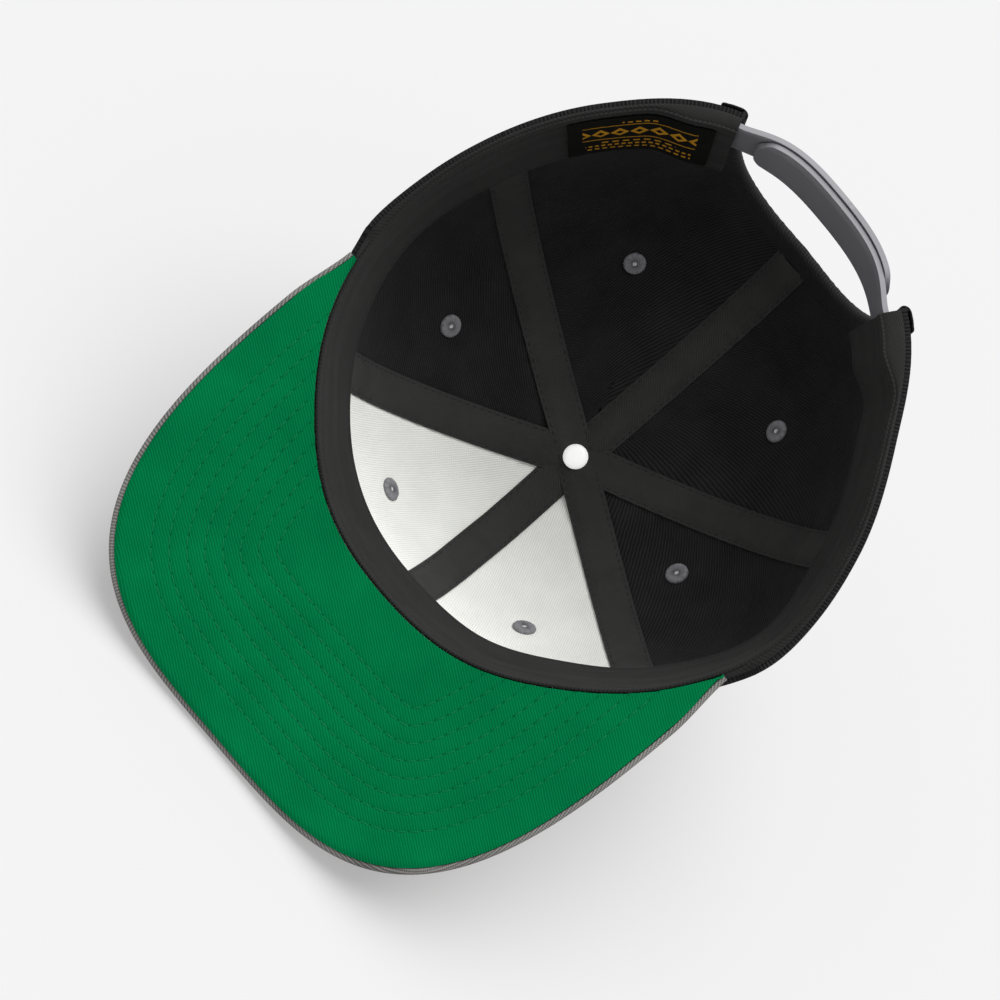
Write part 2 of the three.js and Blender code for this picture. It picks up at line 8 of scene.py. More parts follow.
# %% Load the frame
import math
import bpy
import bmesh
import numpy as np
from mathutils import Matrix, Vector
from mathutils.bvhtree import BVHTree


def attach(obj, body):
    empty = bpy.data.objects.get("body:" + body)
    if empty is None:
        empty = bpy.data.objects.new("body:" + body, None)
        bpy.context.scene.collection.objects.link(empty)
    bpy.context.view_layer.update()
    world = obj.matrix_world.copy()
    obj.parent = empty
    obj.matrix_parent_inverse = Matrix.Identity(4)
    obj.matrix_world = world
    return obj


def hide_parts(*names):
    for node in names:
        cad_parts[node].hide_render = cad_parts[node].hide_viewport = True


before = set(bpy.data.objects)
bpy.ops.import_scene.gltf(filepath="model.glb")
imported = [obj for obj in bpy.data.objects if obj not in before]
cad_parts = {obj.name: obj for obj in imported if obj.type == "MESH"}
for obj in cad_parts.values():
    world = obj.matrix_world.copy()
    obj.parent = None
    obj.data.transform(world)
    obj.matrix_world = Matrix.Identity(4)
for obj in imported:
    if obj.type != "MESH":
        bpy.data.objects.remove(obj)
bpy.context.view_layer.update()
mm = 0.001

# %% [markdown]
# ## The crown as a surface
# A cap's crown is six gores sewn together, so any point on it has two plain addresses: the bearing
# round the rim and the length up the gore from the rim. A table gives the rim's radius and height and
# the gore's profile at sixteen bearings. A periodic cubic joins the rows, and a superellipse draws the
# profile. Every soft piece uses this one surface, so cloth, tape and band follow each other exactly.

# %% The crown's table
rim_radius, crown_height, top_x, top_y = 92.5, 110.8, 6.4, -1.7
crown_rows = np.array([  # bearing, rim radius share, rim height share, flank power, shoulder power, lean
    [0.0, 0.894, 0.034, 2.45, 4.35, 0.263], [22.5, 0.910, 0.011, 2.27, 4.22, 0.241],
    [45.0, 0.912, -0.015, 1.84, 3.92, 0.184], [67.5, 0.944, -0.003, 1.42, 3.62, 0.101],
    [90.0, 0.970, 0.001, 1.27, 3.51, -0.022], [112.5, 0.998, -0.031, 1.64, 3.65, 0.037],
    [135.0, 1.067, -0.036, 2.21, 3.98, 0.044], [157.5, 1.175, 0.023, 2.83, 4.30, 0.079],
    [180.0, 1.160, 0.065, 2.97, 4.43, 0.064], [202.5, 1.133, 0.023, 2.83, 4.30, 0.080],
    [225.0, 1.026, -0.036, 2.21, 3.98, 0.044], [247.5, 1.002, -0.031, 1.67, 3.65, 0.062],
    [270.0, 1.000, 0.001, 1.30, 3.51, 0.018], [292.5, 0.950, -0.003, 1.42, 3.62, 0.099],
    [315.0, 0.909, -0.015, 1.84, 3.92, 0.184], [337.5, 0.906, 0.011, 2.27, 4.22, 0.241]])
out_face, gore_t, gap = 3.4, 2.4, 0.35
front_twill_t, pierce_r = 1.15, 2.6
sew_pitch, sew_length, sew_thick = 2.9, 2.1, 0.42
in_face = out_face - gore_t
seams = {"front": -1.5, "left": 58.0, "back_left": 115.9, "back": 180.3, "back_right": 246.2,
         "right": 298.0}


def ease(x, lo, hi):
    t = np.clip((np.asarray(x, float) - lo) / (hi - lo), 0, 1)
    return t * t * (3 - 2 * t)


def station(az):
    n = len(crown_rows)
    place = (np.asarray(az, float) % 360) / (360 / n)
    i = np.floor(place).astype(int) % n
    t = (place - np.floor(place))[..., None]
    a, b, d, e = (crown_rows[(i + k) % n, 1:] for k in (-1, 0, 1, 2))
    return b + 0.5 * t * (d - a + t * (2 * a - 5 * b + 4 * d - e + t * (3 * (b - d) + e - a)))


def gore_lines(az, n=144):
    s = station(az)
    r, z, flank, shoulder, lean = (s[..., k][..., None] for k in range(5))
    k = np.linspace(0, 1, n + 1)
    a = k ** 1.35 * np.pi / 2
    up = np.sin(a) ** (2 / shoulder)
    away = np.where(k == 1, 0, np.maximum(np.cos(a), 0) ** (2 / flank) * (1 - lean * up))
    x = r * rim_radius * np.sin(np.radians(az))[..., None]
    y = -r * rim_radius * np.cos(np.radians(az))[..., None]
    points = np.stack([x * away + top_x * up, y * away + top_y * up, crown_height * (z * (1 - up) + up)], -1)
    run = np.linalg.norm(np.diff(points, axis=1), axis=-1)
    return points, np.concatenate([np.zeros((len(az), 1)), np.cumsum(run, 1)], 1)


# %% [markdown]
# The surface is sampled once on a fine grid of bearings and shares of length. Looking a point up is
# then a quick blend of four neighbours, and the outward normal comes from the grid's own slopes.

# %% Sample the surface
bearings = np.arange(0, 360, 0.5)
shares = np.linspace(0, 1, 301)
line_points, line_lengths = gore_lines(bearings)
gore_total = line_lengths[:, -1]
surface = np.array([[np.interp(shares * l[-1], l, p[:, c]) for c in range(3)]
                    for p, l in zip(line_points, line_lengths)]).transpose(0, 2, 1)
slope_az = np.roll(surface, -1, 0) - np.roll(surface, 1, 0)
slope_up = np.gradient(surface, axis=1)
surface_normal = np.cross(slope_az, slope_up)
surface_normal /= np.maximum(np.linalg.norm(surface_normal, axis=-1, keepdims=True), 1e-9)
near_top = (1 - ease(gore_total[:, None] * (1 - shares), 3, 16))[..., None]
surface_normal = surface_normal * (1 - near_top) + np.array([0, 0, 1.0]) * near_top
surface_normal /= np.linalg.norm(surface_normal, axis=-1, keepdims=True)


def total(az):
    return np.interp(np.asarray(az, float) % 360, np.append(bearings, 360),
                     np.append(gore_total, gore_total[0]))


def look_up(grid, az, length):
    az, length = np.broadcast_arrays(np.asarray(az, float), np.asarray(length, float))
    u = (az % 360) / 0.5
    v = np.clip(length / total(az), 0, 1) * (len(shares) - 1)
    i, j = np.floor(u).astype(int), np.minimum(np.floor(v).astype(int), len(shares) - 2)
    s, t = (u - i)[..., None], (v - j)[..., None]
    i0, i1 = i % len(bearings), (i + 1) % len(bearings)
    low, high = (grid[i0, k] * (1 - s) + grid[i1, k] * s for k in (j, j + 1))
    return low * (1 - t) + high * t


print("gore lengths", np.round(gore_total[::90], 1))

# %% [markdown]
# ## How it lies
# The solids lie turned over, pitched so that the crown's front and the brim's edge both touch the
# surface, with the cloth pressed flat where it takes the weight. The same turn and the same pressing
# are repeated here, so that a point in the cap's own frame lands where the solid is.

# %% Turn the cap's frame into the resting frame
rest_pitch, rest_press_floor = math.radians(44.26997), -104.61242
turn = np.array(Matrix.Rotation(rest_pitch, 3, "X") @ Matrix.Rotation(math.pi, 3, "Y"))
shift = np.array([-0.55795, -7.21212, 104.61242])
up_in_cap = turn[2]


def lay(points):
    """Points of the cap's own frame, in millimetres, as resting points in metres."""
    return (np.asarray(points, float) @ turn.T + shift) * mm


def crown(az, length, off, relief=None):
    """Resting points on the crown: off is the distance out from the surface, relief moves the cloth."""
    p = look_up(surface, az, length)
    n = look_up(surface_normal, az, length)
    n /= np.linalg.norm(n, axis=-1, keepdims=True)
    move = np.broadcast_to(np.asarray(off, float), p.shape[:-1]) + (0 if relief is None else relief)
    p = p + n * move[..., None]
    low = rest_press_floor + (out_face - off) - p @ up_in_cap
    return lay(p + np.maximum(low, 0)[..., None] * up_in_cap)


print("rest patch height", (crown(0.0, 120.0, out_face) / mm).round(2))

# %% [markdown]
# ## Helpers at the bench
# Cloth in a cap is never perfectly smooth: it eases between the seams. One slow field of small waves
# moves every layer together, so the layers never cross. A sheet of cloth starts as Blender's grid
# primitive, and its points are then laid on the crown, which no operator could do as exactly. Each
# point remembers its place on the cloth in an attribute called cloth, for weaves and stitch marks.

# %% Waves shared by all the layers
def cap_radius(az, length):
    p = look_up(surface, az, length)
    share = p[..., 2] / crown_height
    return np.hypot(p[..., 0] - top_x * share, p[..., 1] - top_y * share)


def waves(az, length):
    a = np.radians(az)
    slow = np.sin(3 * a + 0.7) * np.sin(length / 17 + 1.1) + 0.8 * np.sin(5 * a + 2.3 + length / 31)
    quick = 0.45 * np.sin(11 * a + length / 9.5) * np.sin(length / 7.3 + 0.4)
    fade = ease(length, 5, 34) * ease(total(az) - length, 8, 34)
    return 0.26 * (slow + quick) * fade


def on_crown(az, length, off, relief=0.0):
    az, length = np.broadcast_arrays(np.asarray(az, float), np.asarray(length, float))
    return crown(az, length, off, waves(az, length) + relief)


wave_heights = waves(bearings[:, None], np.linspace(0, 150, 60)[None])
print("wave height in mm", round(float(np.ptp(wave_heights)), 2))


# %% [markdown]
# Every sheet goes through the same few steps: add a grid, lay its points, give it a wall with Solidify,
# round its cut edges with Bevel, and shade it smooth up to an angle.

# %% Sheets with a wall
def select_only(*objects):
    bpy.ops.object.select_all(action="DESELECT")
    for obj in objects:
        obj.select_set(True)
    bpy.context.view_layer.objects.active = objects[0]


def join(host, *others):
    select_only(host, *others)
    bpy.ops.object.join()


def edit_all(piece):
    select_only(piece)
    bpy.ops.object.mode_set(mode="EDIT")
    bpy.ops.mesh.select_all(action="SELECT")


def apply_all(piece):
    select_only(piece)
    for name in [m.name for m in piece.modifiers]:
        bpy.ops.object.modifier_apply(modifier=name)


def read_points(piece):
    flat = np.empty(len(piece.data.vertices) * 3)
    piece.data.vertices.foreach_get("co", flat)
    return flat.reshape(-1, 3)


def write_points(piece, points):
    piece.data.vertices.foreach_set("co", np.ascontiguousarray(points, float).ravel())
    piece.data.update()


def remember(piece, values, label="cloth"):
    fields = piece.data.attributes
    field = fields.get(label) or fields.new(label, "FLOAT_VECTOR", "POINT")
    field.data.foreach_set("vector", np.ascontiguousarray(values, float).ravel())


def sheet(name, across, along, place):
    """A grid of cloth; place(s, t) gives resting points and cloth coordinates for shares of its sides."""
    bpy.ops.object.select_all(action="DESELECT")
    bpy.ops.mesh.primitive_grid_add(x_subdivisions=across, y_subdivisions=along, size=2)
    piece = bpy.context.object
    piece.name = piece.data.name = name
    st = (read_points(piece)[:, :2] + 1) / 2
    points, cloth = place(st[:, 0], st[:, 1])
    write_points(piece, points)
    remember(piece, cloth)
    return piece


def wall(piece, thick, bevel=0.25, segments=2, offset=-1.0):
    solid = piece.modifiers.new("wall", "SOLIDIFY")
    solid.thickness, solid.offset, solid.use_even_offset = thick * mm, offset, False
    if bevel:
        edge = piece.modifiers.new("edge", "BEVEL")
        edge.width, edge.segments, edge.limit_method = bevel * mm, segments, "ANGLE"
        edge.angle_limit = math.radians(50)
    apply_all(piece)
    smooth_shade(piece)


def smooth_shade(piece, angle=40):
    select_only(piece)
    bpy.ops.object.shade_smooth_by_angle(angle=math.radians(angle))


def triangles(piece):
    return sum(len(p.vertices) - 2 for p in piece.data.polygons)


def dress(piece, slot, *nodes):
    """The piece stands for these solids and rides with the cap; slot is not used."""
    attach(piece, "root")
    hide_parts(*nodes)
    print(f"{piece.name}: {len(piece.data.vertices)} points, {triangles(piece)} triangles")


# %% [markdown]
# ## Stitches
# A stitch is a short bead of thread that dips into the cloth at both ends. One is modelled from a
# sphere, turned in edit mode and pinched at its ends, and is stretched to length where it is placed.
# Rows of them are copies of that one mesh, turned along the seam, joined into a single object for each
# row and then into the cloth they hold.

# %% One stitch, and rows of it
bpy.ops.object.select_all(action="DESELECT")
bpy.ops.mesh.primitive_uv_sphere_add(segments=6, ring_count=5, radius=1)
stitch = bpy.context.object
stitch.name = "stitch_pattern"
bpy.ops.object.mode_set(mode="EDIT")
bpy.ops.mesh.select_all(action="SELECT")
bpy.ops.transform.rotate(value=math.pi / 2, orient_axis="X", center_override=(0, 0, 0))
bpy.ops.object.mode_set(mode="OBJECT")
stitch_points = read_points(stitch)
stitch_points[:, 2] -= 0.9 * np.abs(stitch_points[:, 1]) ** 3
stitch_faces = [tuple(p.vertices) for p in stitch.data.polygons]
bpy.data.objects.remove(stitch)
print("stitch faces", len(stitch_faces))


def sew(host, centres, heads, outs, length, thick, finish):
    """Adds stitches to host: heads run along the seam, outs point away from the cloth."""
    heads = heads / np.linalg.norm(heads, axis=1, keepdims=True)
    sides = np.cross(heads, outs)
    sides /= np.linalg.norm(sides, axis=1, keepdims=True)
    outs = np.cross(sides, heads)
    p = stitch_points
    points = (centres[:, None] + sides[:, None] * p[None, :, :1] * thick * mm * 0.5
              + heads[:, None] * p[None, :, 1:2] * length * mm * 0.5
              + outs[:, None] * p[None, :, 2:] * thick * mm * 0.5).reshape(-1, 3)
    n = len(p)
    faces = [tuple(i + k * n for i in face) for k in range(len(centres)) for face in stitch_faces]
    mesh = bpy.data.meshes.new("stitches")
    mesh.from_pydata(points.tolist(), [], faces)
    mesh.polygons.foreach_set("use_smooth", np.ones(len(faces), bool))
    mesh.materials.append(finish)
    row = bpy.data.objects.new("stitches", mesh)
    bpy.context.scene.collection.objects.link(row)
    remember(row, np.repeat(np.arange(len(centres)) * 1.7, n)[:, None] * np.ones(3))
    join(host, row)
    return len(centres)


def row_frames(face, us, vs, step_u, step_v, flip=1):
    """Centres, headings and outward directions of stitches at (us, vs) on face(u, v)."""
    centres = face(us, vs)
    heads = face(us + step_u, vs + step_v) - face(us - step_u, vs - step_v)
    cross = face(us - step_v, vs + step_u) - face(us + step_v, vs - step_u)
    outs = np.cross(heads, cross) * flip
    return centres, heads, outs / np.linalg.norm(outs, axis=1, keepdims=True)


def turn_outs(outs, centres, origin, way=1):
    """The outward directions, each turned away from the origin, or towards it where way is -1."""
    return outs * (way * np.sign(np.sum(outs * (centres - origin), axis=1)))[:, None]


# %% [markdown]
# ## Finishes
# All the cloths are woven, so one node group draws a twill: ribs across a given direction, broken by
# the crossing yarn, with a little unevenness. It reads the cloth attribute in millimetres, so the rib
# spacing is real and follows the cloth. A second group gives slow fading and lint. Colours, roughness
# and bump come from these groups; sheen and other constants are set on the shader itself.

# %% Node helpers
def put(tree, kind, inputs=None, **settings):
    node = tree.nodes.new("ShaderNode" + kind)
    for key, value in settings.items():
        setattr(node, key, value)
    for key, value in (inputs or {}).items():
        if isinstance(value, bpy.types.NodeSocket):
            tree.links.new(value, node.inputs[key])
        else:
            node.inputs[key].default_value = value
    return node


def calc(tree, operation, a, b=0.0, c=0.0):
    return put(tree, "Math", {0: a, 1: b, 2: c}, operation=operation).outputs[0]


def spread(tree, value, lo, hi, to_lo=0.0, to_hi=1.0):
    return put(tree, "MapRange", {"Value": value, "From Min": lo, "From Max": hi,
                                  "To Min": to_lo, "To Max": to_hi}).outputs[0]


def blend(tree, share, a, b):
    node = put(tree, "Mix", data_type="RGBA")
    for index, value in ((0, share), (6, a), (7, b)):
        if isinstance(value, bpy.types.NodeSocket):
            tree.links.new(value, node.inputs[index])
        else:
            node.inputs[index].default_value = value
    return node.outputs[2]


def group(name, inputs, outputs):
    tree = bpy.data.node_groups.new(name, "ShaderNodeTree")
    for label, kind, value in inputs:
        socket = tree.interface.new_socket(label, in_out="INPUT", socket_type="NodeSocket" + kind)
        if value is not None:
            socket.default_value = value
    for label, kind in outputs:
        tree.interface.new_socket(label, in_out="OUTPUT", socket_type="NodeSocket" + kind)
    return tree, tree.nodes.new("NodeGroupInput").outputs, tree.nodes.new("NodeGroupOutput").inputs


def noise(tree, where, scale, detail, roughness=0.5):
    return put(tree, "TexNoise", {"Vector": where, "Scale": scale, "Detail": detail,
                                  "Roughness": roughness}).outputs[0]


def new_finish(name, **constants):
    """A material with its tree and shader; the constants go on the shader's own sockets."""
    material = bpy.data.materials.new(name)
    material.use_nodes = True
    shader = material.node_tree.nodes["Principled BSDF"]
    for key, value in constants.items():
        shader.inputs[key.replace("_", " ")].default_value = value
    return material, material.node_tree, shader


# %% Twill: ribs, crossing yarn and unevenness
twill_group, ins, outs = group(
    "twill_weave", [("Place", "Vector", None), ("Across Ribs", "Vector", (7, 7, 0)),
                    ("Across Yarns", "Vector", (-9, 9, 0)), ("Unevenness", "Float", 0.5)],
    [("Height", "Float"), ("Fleck", "Float")])
wander = noise(twill_group, ins["Place"], 0.35, 3.0)
drift = calc(twill_group, "MULTIPLY", calc(twill_group, "SUBTRACT", wander, 0.5), ins["Unevenness"])
drift = calc(twill_group, "MULTIPLY", drift, 9.0)
ribs, yarns = (put(twill_group, "VectorMath", {0: ins["Place"], 1: ins[key]},
                   operation="DOT_PRODUCT").outputs["Value"] for key in ("Across Ribs", "Across Yarns"))
rib_wave = calc(twill_group, "SINE", calc(twill_group, "ADD", ribs, drift))
yarn_wave = calc(twill_group, "SINE", calc(twill_group, "ADD", yarns, drift))
fleck = noise(twill_group, ins["Place"], 2.6, 4.0, 0.7)
height = calc(twill_group, "MULTIPLY_ADD", rib_wave, 0.34, 0.5)
height = calc(twill_group, "MULTIPLY_ADD", yarn_wave, 0.13, height)
height = calc(twill_group, "MULTIPLY_ADD", calc(twill_group, "SUBTRACT", fleck, 0.5), 0.5, height)
twill_group.links.new(height, outs["Height"])
twill_group.links.new(fleck, outs["Fleck"])
print("twill group nodes", len(twill_group.nodes))

# %% Fading and lint
fade_group, ins, outs = group("fading_and_lint", [("Place", "Vector", None), ("Lint", "Float", 0.3)],
                              [("Fade", "Float"), ("Lint", "Float")])
cloud = noise(fade_group, ins["Place"], 0.045, 3.0, 0.6)
speck = noise(fade_group, ins["Place"], 4.5, 2.0)
fade_group.links.new(spread(fade_group, cloud, 0.3, 0.7), outs["Fade"])
lint = calc(fade_group, "MULTIPLY", spread(fade_group, speck, 0.66, 0.80), ins["Lint"])
fade_group.links.new(lint, outs["Lint"])


# %% [markdown]
# A cloth finish is then a few lines: the rib direction and spacing, two colours for the rib tops and
# the hollows, the darker one painted shade in the hollows, a lighter colour for lint, and how deep the
# weave stands.

# %% A woven finish
def srgb(r, g, b):
    linear = (((v / 255 + 0.055) / 1.055) ** 2.4 if v > 10 else v / 255 / 12.92 for v in (r, g, b))
    return (*linear, 1.0)


def ribs_at(angle, pitch):
    a = math.radians(angle)
    return (2 * math.pi / pitch * math.cos(a), 2 * math.pi / pitch * math.sin(a), 0)


def woven(name, high, low, lint, rib, yarn, bump, roughness=0.95, sheen=0.03, uneven=0.4,
          contrast=1.0, shine=0.08, extra=None):
    """Cloth finish; extra(tree, place, colour, height) may change the colour and the height."""
    material, tree, shader = new_finish(name, Sheen_Weight=sheen, Sheen_Roughness=0.55,
                                        Specular_IOR_Level=shine)
    place = put(tree, "Attribute", attribute_name="cloth").outputs["Vector"]
    weave = put(tree, "Group", node_tree=twill_group)
    weave.inputs["Across Ribs"].default_value = ribs_at(*rib)
    weave.inputs["Across Yarns"].default_value = ribs_at(*yarn)
    weave.inputs["Unevenness"].default_value = uneven
    fade = put(tree, "Group", node_tree=fade_group)
    fade.inputs["Lint"].default_value = 0.35
    for node in (weave, fade):
        tree.links.new(place, node.inputs["Place"])
    # The colour runs with the weave's height from the darker hollow colour, painted shade of the weave, to
    # the rib-top colour; the slow fading mixes in random tone.
    share = spread(tree, weave.outputs["Height"], 0.5 - 0.5 / contrast, 0.5 + 0.5 / contrast)
    share = calc(tree, "MULTIPLY_ADD", calc(tree, "SUBTRACT", fade.outputs["Fade"], 0.5), 0.35, share)
    share = put(tree, "Clamp", {"Value": share}).outputs[0]
    colour = blend(tree, share, low, high)
    colour = blend(tree, fade.outputs["Lint"], colour, lint)
    height = weave.outputs["Height"]
    if extra:
        colour, height = extra(tree, place, colour, height)
    tree.links.new(colour, shader.inputs["Base Color"])
    tree.links.new(spread(tree, weave.outputs["Fleck"], 0.2, 0.8, roughness - 0.07, min(roughness + 0.06, 1)),
                   shader.inputs["Roughness"])
    knit = put(tree, "Bump", {"Strength": 1.0, "Distance": bump * mm, "Height": height})
    tree.links.new(knit.outputs[0], shader.inputs["Normal"])
    return material


def thread(name, colour, dark):
    """Sewing thread: two plies twisted, seen as fine slanted bands along each stitch; the dark bands are
    painted shade between the plies.
    """
    material, tree, shader = new_finish(name, Specular_IOR_Level=0.12)
    where = put(tree, "TexCoord").outputs["Object"]
    ply = put(tree, "TexWave", {"Vector": where, "Scale": 900.0, "Distortion": 2.5, "Detail": 1.0})
    # dark is the thread's colour in painted shade, laid in the grooves between the plies
    tree.links.new(blend(tree, ply.outputs["Fac"], dark, colour), shader.inputs["Base Color"])
    tree.links.new(spread(tree, ply.outputs["Fac"], 0, 1, 0.75, 0.6), shader.inputs["Roughness"])
    return material


black_thread = thread("black_thread", srgb(48, 48, 49), srgb(22, 22, 23))
# A pale thread, used as a painted highlight along the binding's fold.
fold_highlight_thread = thread("fold_highlight_thread", srgb(96, 96, 96), srgb(60, 60, 60))
green_thread = thread("green_thread", srgb(4, 118, 68), srgb(1, 100, 57))
grey_thread = thread("grey_thread", srgb(150, 148, 145), srgb(96, 94, 92))
black_twill = woven("black_twill", srgb(44, 44, 45), srgb(14, 14, 15), srgb(80, 80, 81),
                    (38, 0.95), (128, 0.62), 0.16)
lining_twill = woven("lining_twill", srgb(26, 26, 26), srgb(11, 11, 11), srgb(50, 50, 50),
                     (-6, 0.8), (84, 0.6), 0.1, sheen=0.0)
print("finishes", [m.name for m in bpy.data.materials][-6:])

# %% [markdown]
# ## Six gores of twill
# Each gore is a curved triangle of twill from the rim to the top. It could be cut from a sphere, but
# then its seams would be wrong, so it is a grid laid between its two seams. The cloth dips into the
# seam, puckers a little along it, and is pierced where an eyelet goes through. The two back gores
# start at the bound opening's edge instead of the rim.

# %% Where the eyelets and the opening are
eyelets = {"front_left": (28.6, 76.1), "front_right": (-32.4, 75.1), "side_left": (86.0, 65.2),
           "side_right": (-88.0, 58.6), "back_left": (148.1, 70.7), "back_right": (-145.0, 71.9)}
arch_half, arch_height, arch_power, bind_t, bind_w = 39.2, 66.3, 3.1, 0.8, 8.0
arch_edge = bind_t + gap
back_radius = 1.160 * rim_radius
join_az, brim_t = 77.3, 3.4


def arch_az(side):
    return 180 - np.degrees(np.asarray(side, float) / back_radius)


def arch_line(grow, angles):
    c, s = np.cos(np.radians(angles)), np.maximum(np.sin(np.radians(angles)), 0)
    return ((arch_half + grow) * np.sign(c) * np.abs(c) ** (2 / arch_power),
            (arch_height + grow) * s ** (2 / arch_power))


def front_lift(az):
    turned = np.abs((np.asarray(az, float) + 180) % 360 - 180)
    return (brim_t + gap) * (1 - ease(turned, join_az + 3.2, join_az + 8))


def plain_columns(a, b, n=73):
    az = np.linspace(a, b, n)
    return az, front_lift(az)


side, up = arch_line(arch_edge, np.linspace(0, 90, 46))
left_az, left_low = arch_az(side), up
keep = left_az < seams["back"] - 0.4
lead = np.linspace(seams["back_left"], left_az[0], 26)[:-1]
back_left_columns = (np.r_[lead, left_az[keep], seams["back"]],
                     np.r_[np.zeros(25), left_low[keep], arch_height + arch_edge])
side, up = arch_line(arch_edge, np.linspace(90, 180, 46))
right_az, right_low = arch_az(side), up
keep = right_az > seams["back"] + 0.4
tail = np.linspace(right_az[-1], seams["back_right"], 26)[1:]
back_right_columns = (np.r_[seams["back"], right_az[keep], tail],
                      np.r_[arch_height + arch_edge, right_low[keep], np.zeros(25)])
gores = {"front_left": plain_columns(seams["front"], seams["left"]),
         "front_right": plain_columns(seams["right"] - 360, seams["front"]),
         "side_left": plain_columns(seams["left"], seams["back_left"]),
         "side_right": plain_columns(seams["back_right"], seams["right"]),
         "back_left": back_left_columns, "back_right": back_right_columns}
print({name: (float(c[0][0]), float(c[0][-1])) for name, c in gores.items()})


# %% Lay one gore
def seam_relief(az, length, edges, depth=0.55, width=1.5):
    """The dip at the seams and the puckers that the needle pulls beside them."""
    relief = 0
    for seam in edges:
        far = np.abs(az - seam) * np.pi / 180 * cap_radius(az, length)
        relief = relief - depth * np.exp(-(far / width) ** 2)
        ripple = np.sin(length * 1.05 + 3 * np.sin(length / 13 + seam))
        relief = relief + 0.10 * ripple * np.exp(-((far - 3.2) / 2.4) ** 2)
    return relief * ease(length, 1.5, 9)


def rim_shape(az, length):
    """The rim's outer corner is rounded, and the cloth bulges where the brim's ends push it out."""
    turned = np.abs((np.asarray(az, float) + 180) % 360 - 180)
    bulge = 1.1 * np.exp(-((turned - 85) / 8) ** 2) * (1 - ease(length, 2, 26))
    return bulge - 0.3 * np.maximum(1 - length / 1.3, 0) ** 2


def gore_place(columns, off, dip):
    az_list, low_list = columns
    edges = (az_list[0], az_list[-1])

    def place(s, t):
        at = s * (len(az_list) - 1)
        az = np.interp(at, np.arange(len(az_list)), az_list)
        low = np.interp(at, np.arange(len(az_list)), low_list)
        length = low + (total(az) - 3.0 - low) * t
        inset = np.clip(0.02 / np.maximum(cap_radius(az, length), 3) * 180 / np.pi, 0, 2)
        az = az + inset * (1 - 2 * s) ** 9
        middle = (edges[0] + edges[1]) / 2
        cloth = np.stack([(az - middle) * np.pi / 180 * cap_radius(az, length), length, s], -1)
        return on_crown(az, length, off, seam_relief(az, length, edges) * dip + rim_shape(az, length)), cloth
    return place


def pierce(piece, az, from_top, radius):
    """Opens a round hole for an eyelet: faces go, and the rim of the hole is drawn to a circle."""
    length = total(az) - from_top
    centre = Vector(crown(az, length, 2.0).tolist())
    ahead, aside = on_crown(az, length + 1, 2.0), on_crown(az + 1, length, 2.0)
    axis = Vector(np.cross(aside - np.array(centre), ahead - np.array(centre)).tolist()).normalized()
    select_only(piece)
    bpy.ops.object.mode_set(mode="EDIT")
    bm = bmesh.from_edit_mesh(piece.data)

    def across(co):
        away = co - centre
        return (away - axis * away.dot(axis)).length / mm
    gone = [f for f in bm.faces if across(f.calc_center_median()) < radius]
    bmesh.ops.delete(bm, geom=gone, context="FACES")
    for v in bm.verts:
        if v.is_boundary and across(v.co) < radius + 2.5:
            away = v.co - centre
            flat = away - axis * away.dot(axis)
            v.co += flat.normalized() * radius * mm - flat
    bmesh.update_edit_mesh(piece.data)
    bpy.ops.object.mode_set(mode="OBJECT")


def gore_face(edges):
    """The gore's outer face, as a function of bearing and length."""
    def face(az, length):
        relief = seam_relief(az, length, edges) + rim_shape(az, length)
        return on_crown(az, length, out_face, relief)
    return face


for name, columns in gores.items():
    front = name.startswith("front")
    piece = sheet(f"gore_{name}", len(columns[0]) - 1, 110, gore_place(columns, out_face, 1.0))
    pierce(piece, *eyelets[name], pierce_r)
    wall(piece, front_twill_t if front else gore_t, bevel=0)
    piece.data.materials.append(black_twill)
    if not front:
        piece.data.materials.append(lining_twill)
    az_list, low_list = columns
    face = gore_face((az_list[0], az_list[-1]))
    for seam, low, way in ((az_list[0], low_list[0], 1), (az_list[-1], low_list[-1], -1)):
        lengths = np.arange(low + 3.5, float(total(seam)) - 10, sew_pitch)
        beside = seam + way * np.degrees(3.2 / cap_radius(seam, lengths))
        centres, heads, outs = row_frames(face, beside, lengths, 0.0, 0.6)
        outs = turn_outs(outs, centres, lay([top_x, top_y, 30.0]))
        sew(piece, centres, heads, outs, sew_length, sew_thick, black_thread)
    dress(piece, "black_twill", f"panel_{name}")

# %% [markdown]
# The stiffener is a coarse white cloth fused behind the two front gores. It is what keeps a high
# crown standing, and it shows between the tapes. It is laid just behind the twill, with its own
# grainier weave.

# %% Stiffener behind the front gores
buckram = woven("buckram", srgb(244, 244, 240), srgb(218, 219, 214), srgb(250, 250, 247),
                (4, 0.78), (94, 0.82), 0.08, sheen=0.0, uneven=0.25, contrast=1.2)
stiffener_off = out_face - front_twill_t - gap
for name in ("front_left", "front_right"):
    piece = sheet(f"stiffener_{name[6:]}", 72, 110, gore_place(gores[name], stiffener_off, 0.25))
    pierce(piece, *eyelets[name], pierce_r)
    wall(piece, stiffener_off - in_face, bevel=0)
    piece.data.materials.append(buckram)
    dress(piece, "buckram", f"buckram_{name[6:]}")


# %% [markdown]
# ## Seam tapes
# Inside the crown each seam is covered by a folded tape, sewn down along both edges. The seam's
# allowances make the middle stand up, and the sewing pulls small wrinkles across it. The tape is a
# long grid; its edges lie on the gore, and near the top each tape passes under the next.

# %% Lay a tape along a seam
tape_w, tape_t, tape_start = 13.5, 0.5, 16.0
seam_tape = woven("seam_tape", srgb(62, 62, 61), srgb(39, 39, 39), srgb(86, 86, 86),
                  (52, 0.62), (142, 0.5), 0.07)
binding_twill = woven("binding_twill", srgb(42, 42, 42), srgb(20, 20, 20), srgb(60, 60, 60),
                      (52, 0.8), (142, 0.6), 0.1)


